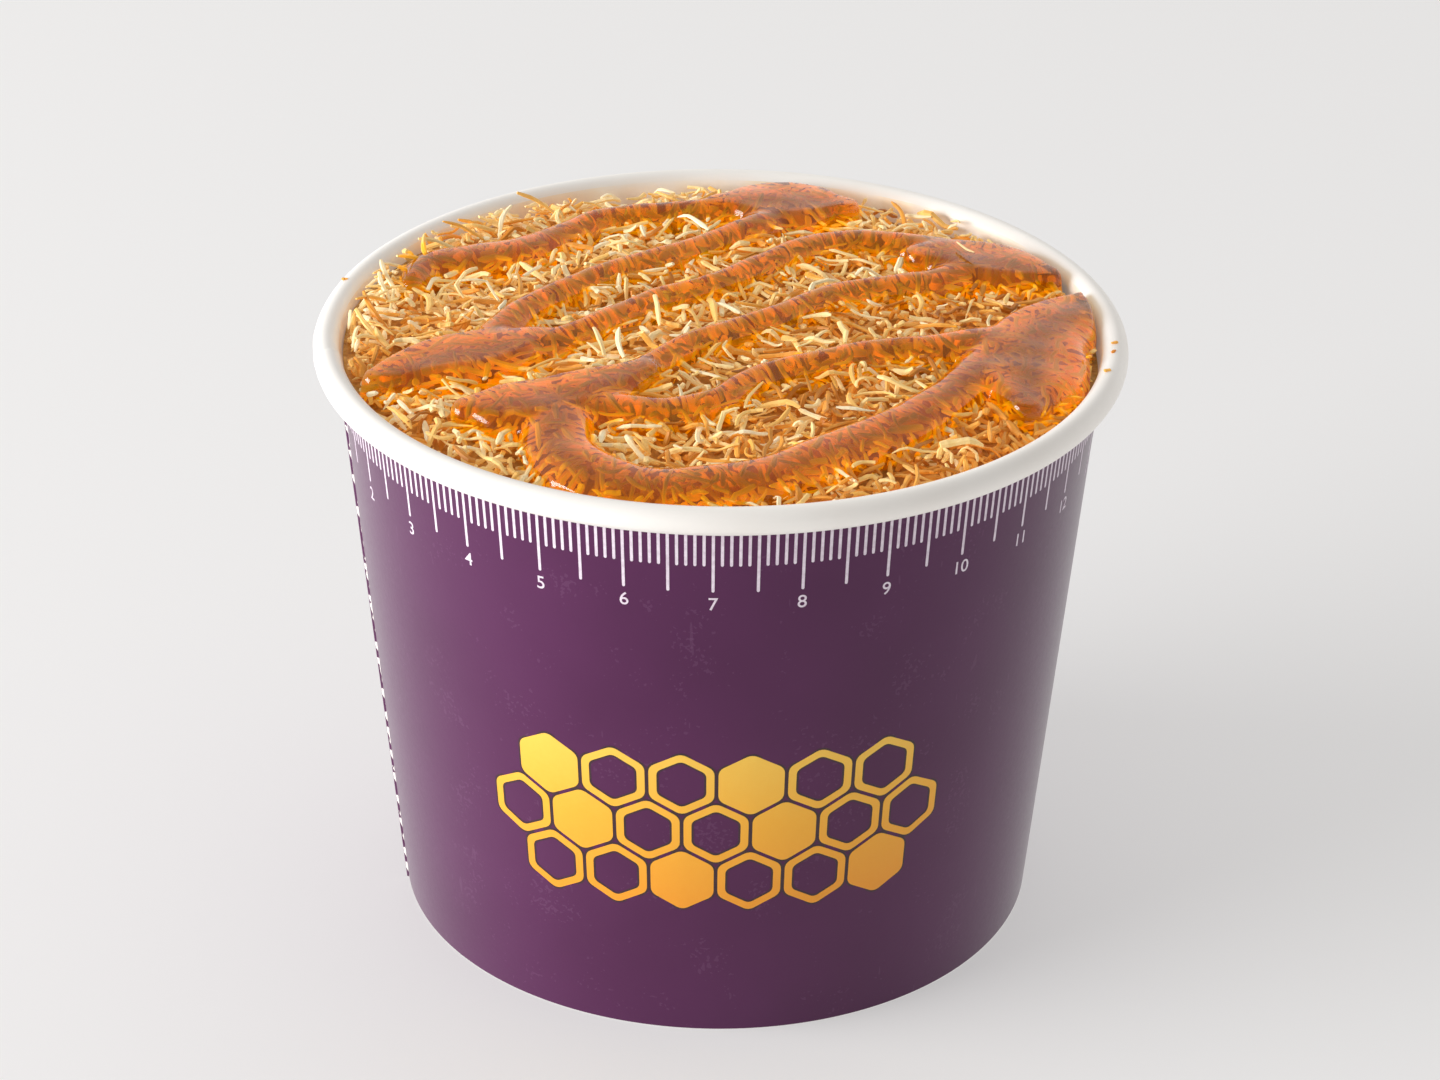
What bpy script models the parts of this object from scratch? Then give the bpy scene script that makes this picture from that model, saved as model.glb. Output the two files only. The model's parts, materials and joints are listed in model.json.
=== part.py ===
"""Honey kunafa in its paper cup: shredded pastry filled to the rim, with a thick zigzag of honey.

Run it with blender --background --python part.py, or from Blender's text editor.
Metres, +Z up. The origin is the middle of the cup's foot, on the surface that it stands on.
The camera side of the cup faces -Y.
"""

import math
import random

import bmesh
import bpy
from mathutils import Vector, noise

MM = 0.001

# Cup, measured outside
CUP_HEIGHT = 73.9 * MM
RIM_DIAMETER = 96.4 * MM
BEAD_DIAMETER = 3.2 * MM
TOP_DIAMETER = 90.5 * MM
FOOT_DIAMETER = 77.8 * MM
PAPER = 0.5 * MM
GAP = 0.3 * MM
HEM_HEIGHT = 6.0 * MM
BASE_LEVEL = 7.0 * MM
SKIRT_END = 0.8 * MM
CUP_SIDES = 48

# Pastry mound
LEVEL_AT_WALL = 71.6 * MM
MOUND_RISE = 1.8 * MM
WALL_CLIMB = 2.6 * MM
CLIMB_DIRECTION = math.radians(155)
CLIMB_FOCUS = 6
CLIMB_STEEPNESS = 8
CORE_RINGS = 10
CORE_SIDES = 36
LUMPS = ((9.0 * MM, 0.5 * MM), (4.2 * MM, 0.4 * MM))

# Shreds of pastry
SHRED_PLACES = 330
SHRED_TRIES = 4
SHRED_THICKNESS = 1.3 * MM
SHRED_CORNER = 0.8 * MM
SHRED_REST = 0.4 * MM
SHRED_LENGTH = (6.0 * MM, 13.0 * MM)
SHRED_SHORTENING = 0.8
SHRED_SEGMENTS = 2
SHRED_BEND = 0.9
SHRED_LIFT = 1.8 * MM
SHRED_CLEARANCE = 0.5 * MM
SEED = 11
GOLDEN_ANGLE = math.pi * (3 - math.sqrt(5))

# Shreds that stand up beside the wall: direction from the middle (degrees), radius and tip height
STANDING_SHREDS = (
    (124, 42.6 * MM, 76.2 * MM),
    (132, 42.0 * MM, 75.4 * MM),
    (111, 42.8 * MM, 75.9 * MM),
    (66, 42.8 * MM, 76.5 * MM),
    (57, 42.2 * MM, 75.7 * MM),
    (173, 43.0 * MM, 75.8 * MM),
    (151, 42.6 * MM, 75.4 * MM),
)
STANDING_CORNERS = (0.6 * MM, 0.6 * MM, 0.4 * MM)
STANDING_LEAN = 3.5 * MM
STANDING_ROOT = 1.0 * MM
STANDING_BULGE = 0.4 * MM

# Honey: each run is drizzled through these places, (x, y, half width) in millimetres
HONEY_RUNS = (
    ((-37.5, 12.5, 1.6), (-36, 17.5, 3.0), (-31, 19.6, 3.8), (-25, 21.3, 3.5), (-20, 26.5, 2.6),
     (-15, 31.4, 2.2), (-9, 33.2, 2.3), (-3, 34.3, 2.4), (5, 36, 3.0)),
    ((8, 34.5, 3.0), (4, 28.8, 2.8), (-2.5, 22.6, 2.0), (-8.5, 17.4, 2.1), (-14.2, 13.5, 2.1),
     (-20, 7.6, 2.2), (-23.8, 2.6, 2.3), (-26.3, -2.5, 3.0)),
    ((-22.5, -6.5, 3.0), (-17, -3.2, 2.2), (-12, 1.6, 2.0), (-7.5, 5.9, 2.0), (-3, 8.7, 1.8),
     (1, 12.3, 1.8), (5, 16.7, 2.0), (9, 21.1, 2.2), (14, 24.6, 2.4), (20, 25, 2.4), (27, 23, 3.4)),
    ((31.5, 18, 3.0), (26.5, 13.8, 2.7), (20, 11, 2.2), (14, 8, 2.1), (10, 4.7, 2.1), (6, 0.8, 2.0),
     (0, -3.8, 2.0), (-4, -6.9, 2.0), (-7, -10.6, 2.0), (-10, -14, 2.4), (-14, -17.5, 3.4)),
    ((-18, -21, 3.2), (-12.5, -22.4, 3.0), (-6, -22.9, 2.4), (-0.5, -20.7, 2.2), (2.5, -16.8, 2.0),
     (6, -13.4, 2.0), (12, -10.6, 2.1), (18, -7.6, 2.2), (25, -5.8, 2.4), (32, -3, 3.6)),
    ((34.5, -5, 3.8), (30.5, -10.5, 3.8), (27, -16.5, 3.3), (20.5, -25, 3.4), (13, -31.6, 3.7),
     (6, -36.6, 3.6), (-1, -39.3, 3.6), (-8, -39.8, 4.0), (-14.5, -36.7, 4.6), (-18, -31, 4.2),
     (-18.5, -24, 4.4)),
)
# Pools where the honey turned, as short wide runs: (x, y, half width) in millimetres
HONEY_POOLS = (
    ((0.6, 35.4, 2.6), (4, 36, 6.2), (8, 36.4, 7.2), (11.6, 36, 6.2), (14.8, 35.4, 2.6)),
    ((-39.8, -14.8, 1.8), (-37, -13, 3.8), (-32, -10, 5.6), (-26, -8, 5.4), (-22, -6, 2.6)),
    ((25, 19.6, 2.8), (28.5, 19.8, 5.4), (33, 19, 6.2), (37, 17, 4.6), (39.6, 15.8, 2.0)),
    ((-28.8, -23.2, 2.0), (-25, -22.6, 4.8), (-20, -21, 5.2), (-14.5, -18.5, 4.4), (-8.6, -14.6, 1.8)),
    ((44, 8.4, 2.6), (41, 4.4, 4.8), (37.4, -2, 6.4), (36, -8, 7.4), (35.4, -14, 6.4), (35, -20, 2.4)),
)
# Step along the honey, height over the mound, and how square its section is (2 is an ellipse)
RUN_FORM = (4.4 * MM, 2.4 * MM, 3)
POOL_FORM = (2.6 * MM, 3.0 * MM, 5)
HONEY_SIDES_RESOLUTION = 2


def clear_scene():
    for item in list(bpy.data.objects):
        bpy.data.objects.remove(item, do_unlink=True)


def new_collection(name):
    collection = bpy.data.collections.new(name)
    bpy.context.scene.collection.children.link(collection)
    return collection


def finish(name, colour, roughness, coat=0.0):
    material = bpy.data.materials.new(name)
    material.use_nodes = True
    shader = material.node_tree.nodes["Principled BSDF"]
    shader.inputs["Base Color"].default_value = (*colour, 1)
    shader.inputs["Roughness"].default_value = roughness
    shader.inputs["Metallic"].default_value = 0.0
    shader.inputs["Coat Weight"].default_value = coat
    return material


def printed_paper():
    return finish("printed_paper", (0.085, 0.035, 0.08), 0.42)


def bare_paper():
    return finish("bare_paper", (0.83, 0.80, 0.76), 0.6)


def toasted_pastry():
    return finish("toasted_pastry", (0.62, 0.33, 0.09), 0.55, coat=0.3)


def amber_honey():
    return finish("amber_honey", (0.55, 0.17, 0.012), 0.12, coat=0.8)


def wall_radius(z):
    """Outer radius of the cup's cone at height z."""
    straight = CUP_HEIGHT - BEAD_DIAMETER
    foot = FOOT_DIAMETER / 2
    return foot + (TOP_DIAMETER / 2 - foot) * z / straight


def profile_object(name, outline, closed, collection, sides):
    """A profile in the XZ plane, turned about the Z axis."""
    mesh = bpy.data.meshes.new(name)
    count = len(outline)
    edges = [(i, i + 1) for i in range(count - 1)]
    if closed:
        edges.append((count - 1, 0))
    mesh.from_pydata([(r, 0.0, z) for r, z in outline], edges, [])
    turned = bpy.data.objects.new(name, mesh)
    collection.objects.link(turned)
    screw = turned.modifiers.new("turn", "SCREW")
    screw.steps = sides
    screw.render_steps = sides
    screw.use_merge_vertices = True
    screw.merge_threshold = 0.00001
    screw.use_smooth_shade = True
    return turned


def bead_arc(steps=11):
    """The rolled rim, from its inner side over the top to where it meets the wall outside."""
    radius = BEAD_DIAMETER / 2
    centre_r = RIM_DIAMETER / 2 - radius
    centre_z = CUP_HEIGHT - radius
    wall_angle = -math.pi + math.acos(min(1, (centre_r - wall_radius(centre_z - radius)) / radius))
    arc = []
    for step in range(steps + 1):
        angle = math.pi + (wall_angle - math.pi) * step / steps
        arc.append((centre_r + radius * math.cos(angle), centre_z + radius * math.sin(angle)))
    return arc


def make_cup_wall(collection):
    """Side wall with its rolled rim, and the hem that is folded up inside the foot."""
    foot = wall_radius(0)
    hem = PAPER + GAP + PAPER + GAP
    outline = bead_arc()
    outline += [
        (wall_radius(CUP_HEIGHT / 2), CUP_HEIGHT / 2),
        (foot, 0),
        (foot - hem - PAPER, 0),
        (wall_radius(HEM_HEIGHT) - hem - PAPER, HEM_HEIGHT),
        (wall_radius(HEM_HEIGHT) - hem, HEM_HEIGHT),
        (foot - hem, PAPER),
        (foot - PAPER, PAPER),
        (wall_radius(CUP_HEIGHT / 2) - PAPER, CUP_HEIGHT / 2),
    ]
    wall = profile_object("cup_wall", outline, True, collection, CUP_SIDES)
    wall.data.materials.append(printed_paper())
    return wall


def make_cup_base(collection):
    """Recessed disc whose skirt runs down between the wall and its hem."""
    inset = PAPER + GAP
    top = BASE_LEVEL + PAPER
    outline = [
        (0, top),
        (wall_radius(top) - inset, top),
        (wall_radius(SKIRT_END) - inset, SKIRT_END),
        (wall_radius(SKIRT_END) - inset - PAPER, SKIRT_END),
        (wall_radius(BASE_LEVEL) - inset - PAPER, BASE_LEVEL),
        (0, BASE_LEVEL),
    ]
    base = profile_object("cup_base", outline, False, collection, CUP_SIDES)
    base.data.materials.append(bare_paper())
    return base


def mound_level(x, y):
    """Height of the lumpy mound that the honey lies on."""
    reach = inner_radius(LEVEL_AT_WALL)
    level = LEVEL_AT_WALL + MOUND_RISE * (1 - (x * x + y * y) / reach**2)
    for size, depth in LUMPS:
        level += depth * noise.noise(Vector((x / size, y / size, size / MM)))
    return level


def pastry_level(x, y):
    """Height of the pastry, which climbs the wall at the left and back left."""
    outwards = math.hypot(x, y) / inner_radius(LEVEL_AT_WALL)
    facing = (1 + math.cos(math.atan2(y, x) - CLIMB_DIRECTION)) / 2
    return mound_level(x, y) + WALL_CLIMB * facing**CLIMB_FOCUS * outwards**CLIMB_STEEPNESS


def inner_radius(z):
    """Where the filling ends, just clear of the cup's inner face."""
    return wall_radius(z) - PAPER - GAP


def mesh_copy(source, name, collection):
    """The evaluated mesh of an object as an object of its own; the source is removed."""
    bpy.context.view_layer.update()
    graph = bpy.context.evaluated_depsgraph_get()
    mesh = bpy.data.meshes.new_from_object(source.evaluated_get(graph))
    made = bpy.data.objects.new(name, mesh)
    made.matrix_world = source.matrix_world.copy()
    collection.objects.link(made)
    bpy.data.objects.remove(source, do_unlink=True)
    return made


def make_core(collection):
    """The pressed body of the filling, with an uneven mounded top."""
    bottom = BASE_LEVEL + PAPER + GAP
    edge = inner_radius(LEVEL_AT_WALL)
    outline = [(edge * ring / CORE_RINGS, LEVEL_AT_WALL) for ring in range(CORE_RINGS + 1)]
    outline += [(inner_radius(bottom), bottom), (0, bottom)]
    turned = profile_object("turned_core", outline, False, collection, CORE_SIDES)
    core = mesh_copy(turned, "kunafa", collection)
    for vertex in core.data.vertices:
        if vertex.co.z > LEVEL_AT_WALL - MM:
            vertex.co.z = pastry_level(vertex.co.x, vertex.co.y)
    core.data.materials.append(toasted_pastry())
    return core


def tube(name, points, radii, resolution, collection):
    """A closed mesh tube through the points, round or four sided, with flat ends."""
    curve = bpy.data.curves.new(name, "CURVE")
    curve.dimensions = "3D"
    curve.bevel_depth = 1.0
    curve.bevel_resolution = resolution
    curve.use_fill_caps = True
    spline = curve.splines.new("POLY")
    spline.points.add(len(points) - 1)
    for place, point, radius in zip(spline.points, points, radii):
        place.co = (*point, 1)
        place.radius = radius
    route = bpy.data.objects.new(name, curve)
    collection.objects.link(route)
    made = mesh_copy(route, name, collection)
    weld(made.data)
    return made


def weld(mesh):
    """Caps joined to their sides."""
    shape = bmesh.new()
    shape.from_mesh(mesh)
    bmesh.ops.remove_doubles(shape, verts=shape.verts, dist=0.000001)
    bmesh.ops.recalc_face_normals(shape, faces=shape.faces)
    shape.to_mesh(mesh)
    shape.free()


def spline_point(before, start, end, after, t):
    """One place on a smooth curve between two of its points."""
    return 0.5 * (
        2 * start
        + (end - before) * t
        + (2 * before - 5 * start + 4 * end - after) * t**2
        + (3 * start - before - 3 * end + after) * t**3
    )


def smooth_run(places, step):
    """(x, y, half width) in metres along a smooth curve through the places."""
    knots = [Vector(place) * MM for place in places]
    knots = [2 * knots[0] - knots[1]] + knots + [2 * knots[-1] - knots[-2]]
    run = []
    for before, start, end, after in zip(knots, knots[1:], knots[2:], knots[3:]):
        parts = max(1, round((end - start).length / step))
        run += [spline_point(before, start, end, after, part / parts) for part in range(parts)]
    return run + [knots[-2]]


def kept_inside(x, y):
    """The place, moved towards the middle if it would touch the cup's wall."""
    reach = inner_radius(LEVEL_AT_WALL)
    distance = math.hypot(x, y)
    scale = min(1.0, reach / distance) if distance else 1.0
    return x * scale, y * scale


def lay_on_pastry(mesh, height, roundness):
    """Turns a flat shape of unit height into one with a full top that lies on the mound in the cup."""
    for vertex in mesh.vertices:
        across = math.sqrt(max(0, 1 - vertex.co.z**2))
        full = math.copysign(math.sqrt(1 - across**roundness), vertex.co.z)
        x, y = kept_inside(vertex.co.x, vertex.co.y)
        vertex.co = (x, y, mound_level(x, y) + full * height)


def make_honey(name, places, form, material, collection):
    """Honey along a smooth run: a tube as wide as the run, flattened onto the mound."""
    step, height, roundness = form
    run = smooth_run(places, step)
    points = [(place.x, place.y, 0) for place in run]
    widths = [place.z for place in run]
    ribbon = tube(name, points, widths, HONEY_SIDES_RESOLUTION, collection)
    for vertex in ribbon.data.vertices:
        nearest = min(run, key=lambda place: (place.xy - vertex.co.xy).length)
        vertex.co.z = max(-1, min(1, vertex.co.z / nearest.z))
    lay_on_pastry(ribbon.data, height, roundness)
    ribbon.data.materials.append(material)
    return ribbon


def honey_places():
    """Every place on the honey with its half width, for keeping shreds clear of it."""
    step = POOL_FORM[0]
    return [place for run in HONEY_RUNS + HONEY_POOLS for place in smooth_run(run, step)]


def under_honey(x, y, honey):
    return any(math.hypot(x - place.x, y - place.y) < place.z + SHRED_CLEARANCE for place in honey)


def shred_points(x, y, length, draw):
    """A bent shred lying on the mound: a few points along an arc, one end lifted a little."""
    heading = draw.uniform(0, 2 * math.pi)
    bend = draw.uniform(-SHRED_BEND, SHRED_BEND)
    lift = draw.uniform(0, SHRED_LIFT)
    step = length / SHRED_SEGMENTS
    px = x - length / 2 * math.cos(heading)
    py = y - length / 2 * math.sin(heading)
    points = []
    for number in range(SHRED_SEGMENTS + 1):
        share = number / SHRED_SEGMENTS
        height = SHRED_REST + lift * share**2
        points.append((px, py, pastry_level(px, py) + height))
        turn = heading + bend * (share - 0.5)
        px += step * math.cos(turn)
        py += step * math.sin(turn)
    return points


def fits(points, honey):
    """A shred is kept where it crosses neither the cup's wall nor the honey."""
    reach = inner_radius(LEVEL_AT_WALL) - SHRED_THICKNESS
    return all(math.hypot(x, y) < reach and not under_honey(x, y, honey) for x, y, _ in points)


def make_lying_shreds(collection):
    """Shreds spread evenly by the golden angle; one that would cross something is turned and shortened."""
    draw = random.Random(SEED)
    honey = honey_places()
    reach = inner_radius(LEVEL_AT_WALL) - SHRED_THICKNESS
    for number in range(SHRED_PLACES):
        radius = reach * math.sqrt((number + 0.5) / SHRED_PLACES)
        angle = number * GOLDEN_ANGLE
        x, y = radius * math.cos(angle), radius * math.sin(angle)
        length = draw.uniform(*SHRED_LENGTH)
        for _ in range(SHRED_TRIES):
            points = shred_points(x, y, length, draw)
            if fits(points, honey):
                tube(f"shred_{number}", points, [SHRED_CORNER] * len(points), 0, collection)
                break
            length = max(SHRED_LENGTH[0], length * SHRED_SHORTENING)


def make_standing_shreds(collection):
    """Shreds whose tips rise above the rim beside the wall."""
    for number, (direction, radius, tip) in enumerate(STANDING_SHREDS):
        angle = math.radians(direction)
        out = Vector((math.cos(angle), math.sin(angle), 0))
        side = 1 if number % 2 else -1
        along = Vector((-math.sin(angle), math.cos(angle), 0)) * STANDING_LEAN * side
        root = out * (radius - STANDING_LEAN) - along
        root.z = pastry_level(root.x, root.y) - STANDING_ROOT
        middle = out * (radius - STANDING_ROOT)
        middle.z = (root.z + tip) / 2 + STANDING_BULGE
        end = out * radius + along
        end.z = tip
        tube(f"standing_shred_{number}", [root, middle, end], STANDING_CORNERS, 0, collection)


def keep_largest_shell(mesh):
    """Drops loose scraps and the walls of hollows that the union sealed."""
    shape = bmesh.new()
    shape.from_mesh(mesh)
    left = set(shape.verts)
    shells = []
    while left:
        shell = {left.pop()}
        edge = list(shell)
        while edge:
            vertex = edge.pop()
            for link in vertex.link_edges:
                other = link.other_vert(vertex)
                if other in left:
                    left.remove(other)
                    shell.add(other)
                    edge.append(other)
        shells.append(shell)
    shells.sort(key=len)
    loose = [vertex for shell in shells[:-1] for vertex in shell]
    bmesh.ops.delete(shape, geom=loose, context="VERTS")
    bmesh.ops.triangulate(shape, faces=shape.faces)
    shape.to_mesh(mesh)
    shape.free()


def fuse(body, pieces):
    """One union of the body with a collection; its pieces are then removed."""
    union = body.modifiers.new("fuse", "BOOLEAN")
    union.operation = "UNION"
    union.solver = "MANIFOLD"
    union.operand_type = "COLLECTION"
    union.material_mode = "TRANSFER"
    union.collection = pieces
    bpy.context.view_layer.update()
    graph = bpy.context.evaluated_depsgraph_get()
    fused = bpy.data.meshes.new_from_object(body.evaluated_get(graph))
    body.modifiers.remove(union)
    body.data = fused
    for piece in list(pieces.objects):
        bpy.data.objects.remove(piece, do_unlink=True)
    bpy.data.collections.remove(pieces)
    keep_largest_shell(body.data)


def make_kunafa(collection):
    """The whole filling as one body: core, shreds and the honey that lies on them."""
    pieces = new_collection("fused_pieces")
    amber = amber_honey()
    make_lying_shreds(pieces)
    make_standing_shreds(pieces)
    for number, places in enumerate(HONEY_RUNS):
        make_honey(f"honey_run_{number}", places, RUN_FORM, amber, pieces)
    for number, places in enumerate(HONEY_POOLS):
        make_honey(f"honey_pool_{number}", places, POOL_FORM, amber, pieces)
    core = make_core(collection)
    fuse(core, pieces)
    return core


def main():
    clear_scene()
    collection = new_collection("honey_kunafa")
    make_cup_wall(collection)
    make_cup_base(collection)
    make_kunafa(collection)


main()
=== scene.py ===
# %% [markdown]
# Honey kunafa in its paper cup
#
# The dessert is a paper cup filled to the rim with shreds of toasted pastry, with a thick zigzag of
# honey on top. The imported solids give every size, so this script first loads them as a fixed frame.
# It then makes the surfaces that are seen: paper, print, thousands of shreds and the clear honey.

# %% Load the frame
import json
import math
import random

import bpy
import numpy as np
from mathutils import Matrix, Vector, noise

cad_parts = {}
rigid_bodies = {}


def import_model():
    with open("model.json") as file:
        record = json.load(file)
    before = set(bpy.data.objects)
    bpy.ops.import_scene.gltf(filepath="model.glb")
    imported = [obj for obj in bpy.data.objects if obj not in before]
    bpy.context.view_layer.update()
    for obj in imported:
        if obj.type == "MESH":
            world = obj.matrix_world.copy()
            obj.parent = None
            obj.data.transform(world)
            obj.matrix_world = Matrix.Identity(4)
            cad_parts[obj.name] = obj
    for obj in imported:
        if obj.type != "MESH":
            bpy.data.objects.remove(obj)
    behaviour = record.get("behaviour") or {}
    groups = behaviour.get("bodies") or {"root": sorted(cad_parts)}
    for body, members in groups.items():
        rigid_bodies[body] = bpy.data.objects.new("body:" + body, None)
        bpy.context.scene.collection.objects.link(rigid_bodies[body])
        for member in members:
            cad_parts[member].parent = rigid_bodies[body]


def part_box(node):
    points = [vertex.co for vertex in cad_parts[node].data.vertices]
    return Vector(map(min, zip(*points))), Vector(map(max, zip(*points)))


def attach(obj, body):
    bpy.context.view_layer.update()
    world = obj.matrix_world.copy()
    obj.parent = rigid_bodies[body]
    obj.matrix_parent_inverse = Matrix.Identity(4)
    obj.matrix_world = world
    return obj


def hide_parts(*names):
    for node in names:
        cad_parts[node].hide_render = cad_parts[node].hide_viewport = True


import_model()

MM = 0.001
for item in list(bpy.context.scene.objects):
    if item.name in ("Cube", "Light", "Camera"):
        bpy.data.objects.remove(item, do_unlink=True)
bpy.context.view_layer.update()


# %% [markdown]
# Finishes
#
# A finish is a material made of nodes. Writing its maths as node calls is hard to read, so one small
# class wraps a socket and gives it Python's operators. Another holds the material and makes every
# other node through one method. This way a finish reads like a recipe.


# %% A socket that can be calculated with
class Value:
    """A socket of a finish, with Python's operators standing for its Math nodes."""

    def __init__(self, finish, socket):
        self.finish = finish
        self.socket = socket

    def maths(self, operation, *values):
        return self.finish.node("ShaderNodeMath", {"operation": operation}, dict(enumerate(values)))

    def __add__(self, other):
        return self.maths("ADD", self, other)

    def __radd__(self, other):
        return self.maths("ADD", other, self)

    def __sub__(self, other):
        return self.maths("SUBTRACT", self, other)

    def __rsub__(self, other):
        return self.maths("SUBTRACT", other, self)

    def __mul__(self, other):
        return self.maths("MULTIPLY", self, other)

    def __rmul__(self, other):
        return self.maths("MULTIPLY", other, self)

    def __gt__(self, other):
        return self.maths("GREATER_THAN", self, other)

    def __lt__(self, other):
        return self.maths("LESS_THAN", self, other)


# %% A finish and its nodes
class Finish:
    """A material or the room's light, and the one method that makes its nodes."""

    def __init__(self, name, world=None):
        self.material = world or bpy.data.materials.new(name)
        self.material.use_nodes = True
        if world is None:
            self.material.cycles.emission_sampling = "NONE"
        self.tree = self.material.node_tree
        self.tree.nodes.clear()

    def node(self, kind, settings=None, inputs=None, output=0):
        """One node: its settings are set first, then the values or links of its sockets."""
        made = self.tree.nodes.new(kind)
        for key, setting in (settings or {}).items():
            if key == "stops":
                self.set_stops(made.color_ramp, setting)
            else:
                setattr(made, key, setting)
        for key, given in (inputs or {}).items():
            self.feed(made.inputs[key], given)
        return Value(self, made.outputs[output]) if made.outputs else None

    def set_stops(self, ramp, stops):
        while len(ramp.elements) < len(stops):
            ramp.elements.new(0.5)
        for element, (place, colour) in zip(ramp.elements, stops):
            element.position = place
            element.color = (*colour, 1)

    def feed(self, socket, given):
        if isinstance(given, Value):
            self.tree.links.new(given.socket, socket)
        elif socket.type == "RGBA":
            socket.default_value = (*given, 1)
        else:
            socket.default_value = given

    def place(self):
        """Where a point of the surface is, in metres, in the frame of the object."""
        return self.node("ShaderNodeTexCoord", output=3)

    def part(self, vector, axis):
        """One number out of three: 0, 1 or 2 for x, y or z."""
        return self.node("ShaderNodeSeparateXYZ", {}, {0: vector}, output=axis)

    def grain(self, scale, detail=2.0, vector=None, roughness=0.5):
        """Soft noise with about this many blobs to a metre, from 0 to 1."""
        inputs = {"Vector": vector or self.place(), "Scale": scale, "Detail": detail, "Roughness": roughness}
        return self.node("ShaderNodeTexNoise", {}, inputs)

    def mix(self, share, first, second):
        """A colour between two others."""
        return self.node("ShaderNodeMix", {"data_type": "RGBA"}, {0: share, 6: first, 7: second}, output=2)

    def ramp(self, share, *stops):
        """A colour read off a strip of colours."""
        return self.node("ShaderNodeValToRGB", {"stops": stops}, {0: share})

    def bump(self, height, distance, strength=1.0):
        return self.node("ShaderNodeBump", {}, {"Height": height, "Distance": distance, "Strength": strength})

    def attribute(self, name):
        """A number that the mesh carries at its points."""
        return self.node("ShaderNodeAttribute", {"attribute_name": name}, output=2)

    def surface(self, inputs):
        """The Principled shader, joined to the material's output."""
        shader = self.node("ShaderNodeBsdfPrincipled", {}, inputs)
        self.node("ShaderNodeOutputMaterial", {}, {"Surface": shader})
        return self.material


# %% [markdown]
# Measures of the cup
#
# The rim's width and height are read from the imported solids, so the looks can't drift from them. The
# paper is wound into a cone, rolled outwards at the top into a bead, and glued along one side seam.

# %% Measures
wall_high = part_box("cup_wall")[1]
CUP_HEIGHT = wall_high.z
RIM_RADIUS = wall_high.x
BEAD_RADIUS = 1.6 * MM
WALL_TOP_RADIUS = 45.25 * MM
FOOT_RADIUS = 38.9 * MM
PAPER = 0.5 * MM
GAP = 0.3 * MM
HEM_HEIGHT = 6.0 * MM
BASE_LEVEL = 7.0 * MM
WALL_TOP = CUP_HEIGHT - 2 * BEAD_RADIUS
CUP_SIDES = 256
print(f"cup {CUP_HEIGHT / MM:.1f} mm high, {2 * RIM_RADIUS / MM:.1f} mm across the rim")


def wall_radius(z):
    """Outer radius of the paper cone at height z."""
    return FOOT_RADIUS + (WALL_TOP_RADIUS - FOOT_RADIUS) * z / WALL_TOP


def inner_radius(z):
    """Radius of the paper cone's inner face at height z."""
    return wall_radius(z) - PAPER


# %% [markdown]
# Meshes from points
#
# Most pieces are grids of points bent into shape: a wall, a ring, a shred. One function turns arrays of
# points and faces into a piece that rides on the cup, and others list the faces of a grid or a tube.


# %% Mesh helpers
def new_piece(name, points, faces, material, smooth=True):
    """A mesh object that moves with the cup."""
    mesh = bpy.data.meshes.new(name)
    mesh.from_pydata(np.asarray(points, float).tolist(), [], [list(map(int, face)) for face in faces])
    mesh.materials.append(material)
    if smooth:
        mesh.shade_smooth()
    mesh.validate()
    piece = bpy.data.objects.new(name, mesh)
    bpy.context.scene.collection.objects.link(piece)
    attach(piece, "root")
    print(f"{name}: {len(mesh.vertices)} points, {len(mesh.polygons)} faces")
    return piece


def grid_faces(rows, columns, wrap_rows=False, wrap_columns=False):
    """Faces between neighbouring points of a grid, numbered row by row."""
    row = np.arange(rows if wrap_rows else rows - 1)[:, None]
    column = np.arange(columns if wrap_columns else columns - 1)[None, :]
    next_row = (row + 1) % rows
    next_column = (column + 1) % columns
    corners = [row * columns + column, row * columns + next_column,
               next_row * columns + next_column, next_row * columns + column]
    size = (len(row), column.shape[1])
    return np.stack([np.broadcast_to(corner, size).ravel() for corner in corners], axis=1)


def tube_faces(rows, columns):
    """Faces of a tube of rings of points, closed by a cap at each end."""
    faces = grid_faces(rows, columns, wrap_columns=True).tolist()
    first_ring = list(range(columns))
    last_ring = list(range((rows - 1) * columns, rows * columns))
    return faces + [first_ring[::-1], last_ring]


def add_number(piece, name, values):
    """Stores one number for each point of the mesh, for the finish to read."""
    layer = piece.data.attributes.new(name, "FLOAT", "POINT")
    layer.data.foreach_set("value", np.asarray(values, np.float32))


def smooth_blend(value, low, high):
    """0 below low, 1 above high, with a smooth change between."""
    share = np.clip((value - low) / (high - low), 0, 1)
    return share * share * (3 - 2 * share)


# %% [markdown]
# Paper of the cup
#
# The cup is one printed sheet. Its unprinted side faces in, so the bead, where the sheet rolls outwards,
# shows white. Where the sheet's two ends overlap there is a small step down the side, and a thicker
# place with a fine line on the bead. A turned profile gives the cone, and a function of direction adds
# the overlap, because a plain turned shape would have no seam.

# %% Directions round the cup
def round_the_axis(radius, direction, height):
    """Points at a radius and a height, in a direction measured from the front."""
    parts = np.broadcast_arrays(radius * np.sin(direction), -radius * np.cos(direction), height)
    return np.stack(parts, axis=-1)


# %% Overlap at the seam
SEAM = math.radians(-80.5)
SEAM_STEP = 0.24 * MM
SEAM_REACH = math.radians(13)
SEAM_LINE = math.radians(0.35)
# Directions from the seam where the wall has closer points, and the stretch that they take up
CLOSE_TO_SEAM = np.radians([-1.2, -0.7, -0.35, -0.22, -0.11, 0, 0.11, 0.22, 0.35, 0.7])
SEAM_STRETCH = math.radians(1.3)


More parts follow.
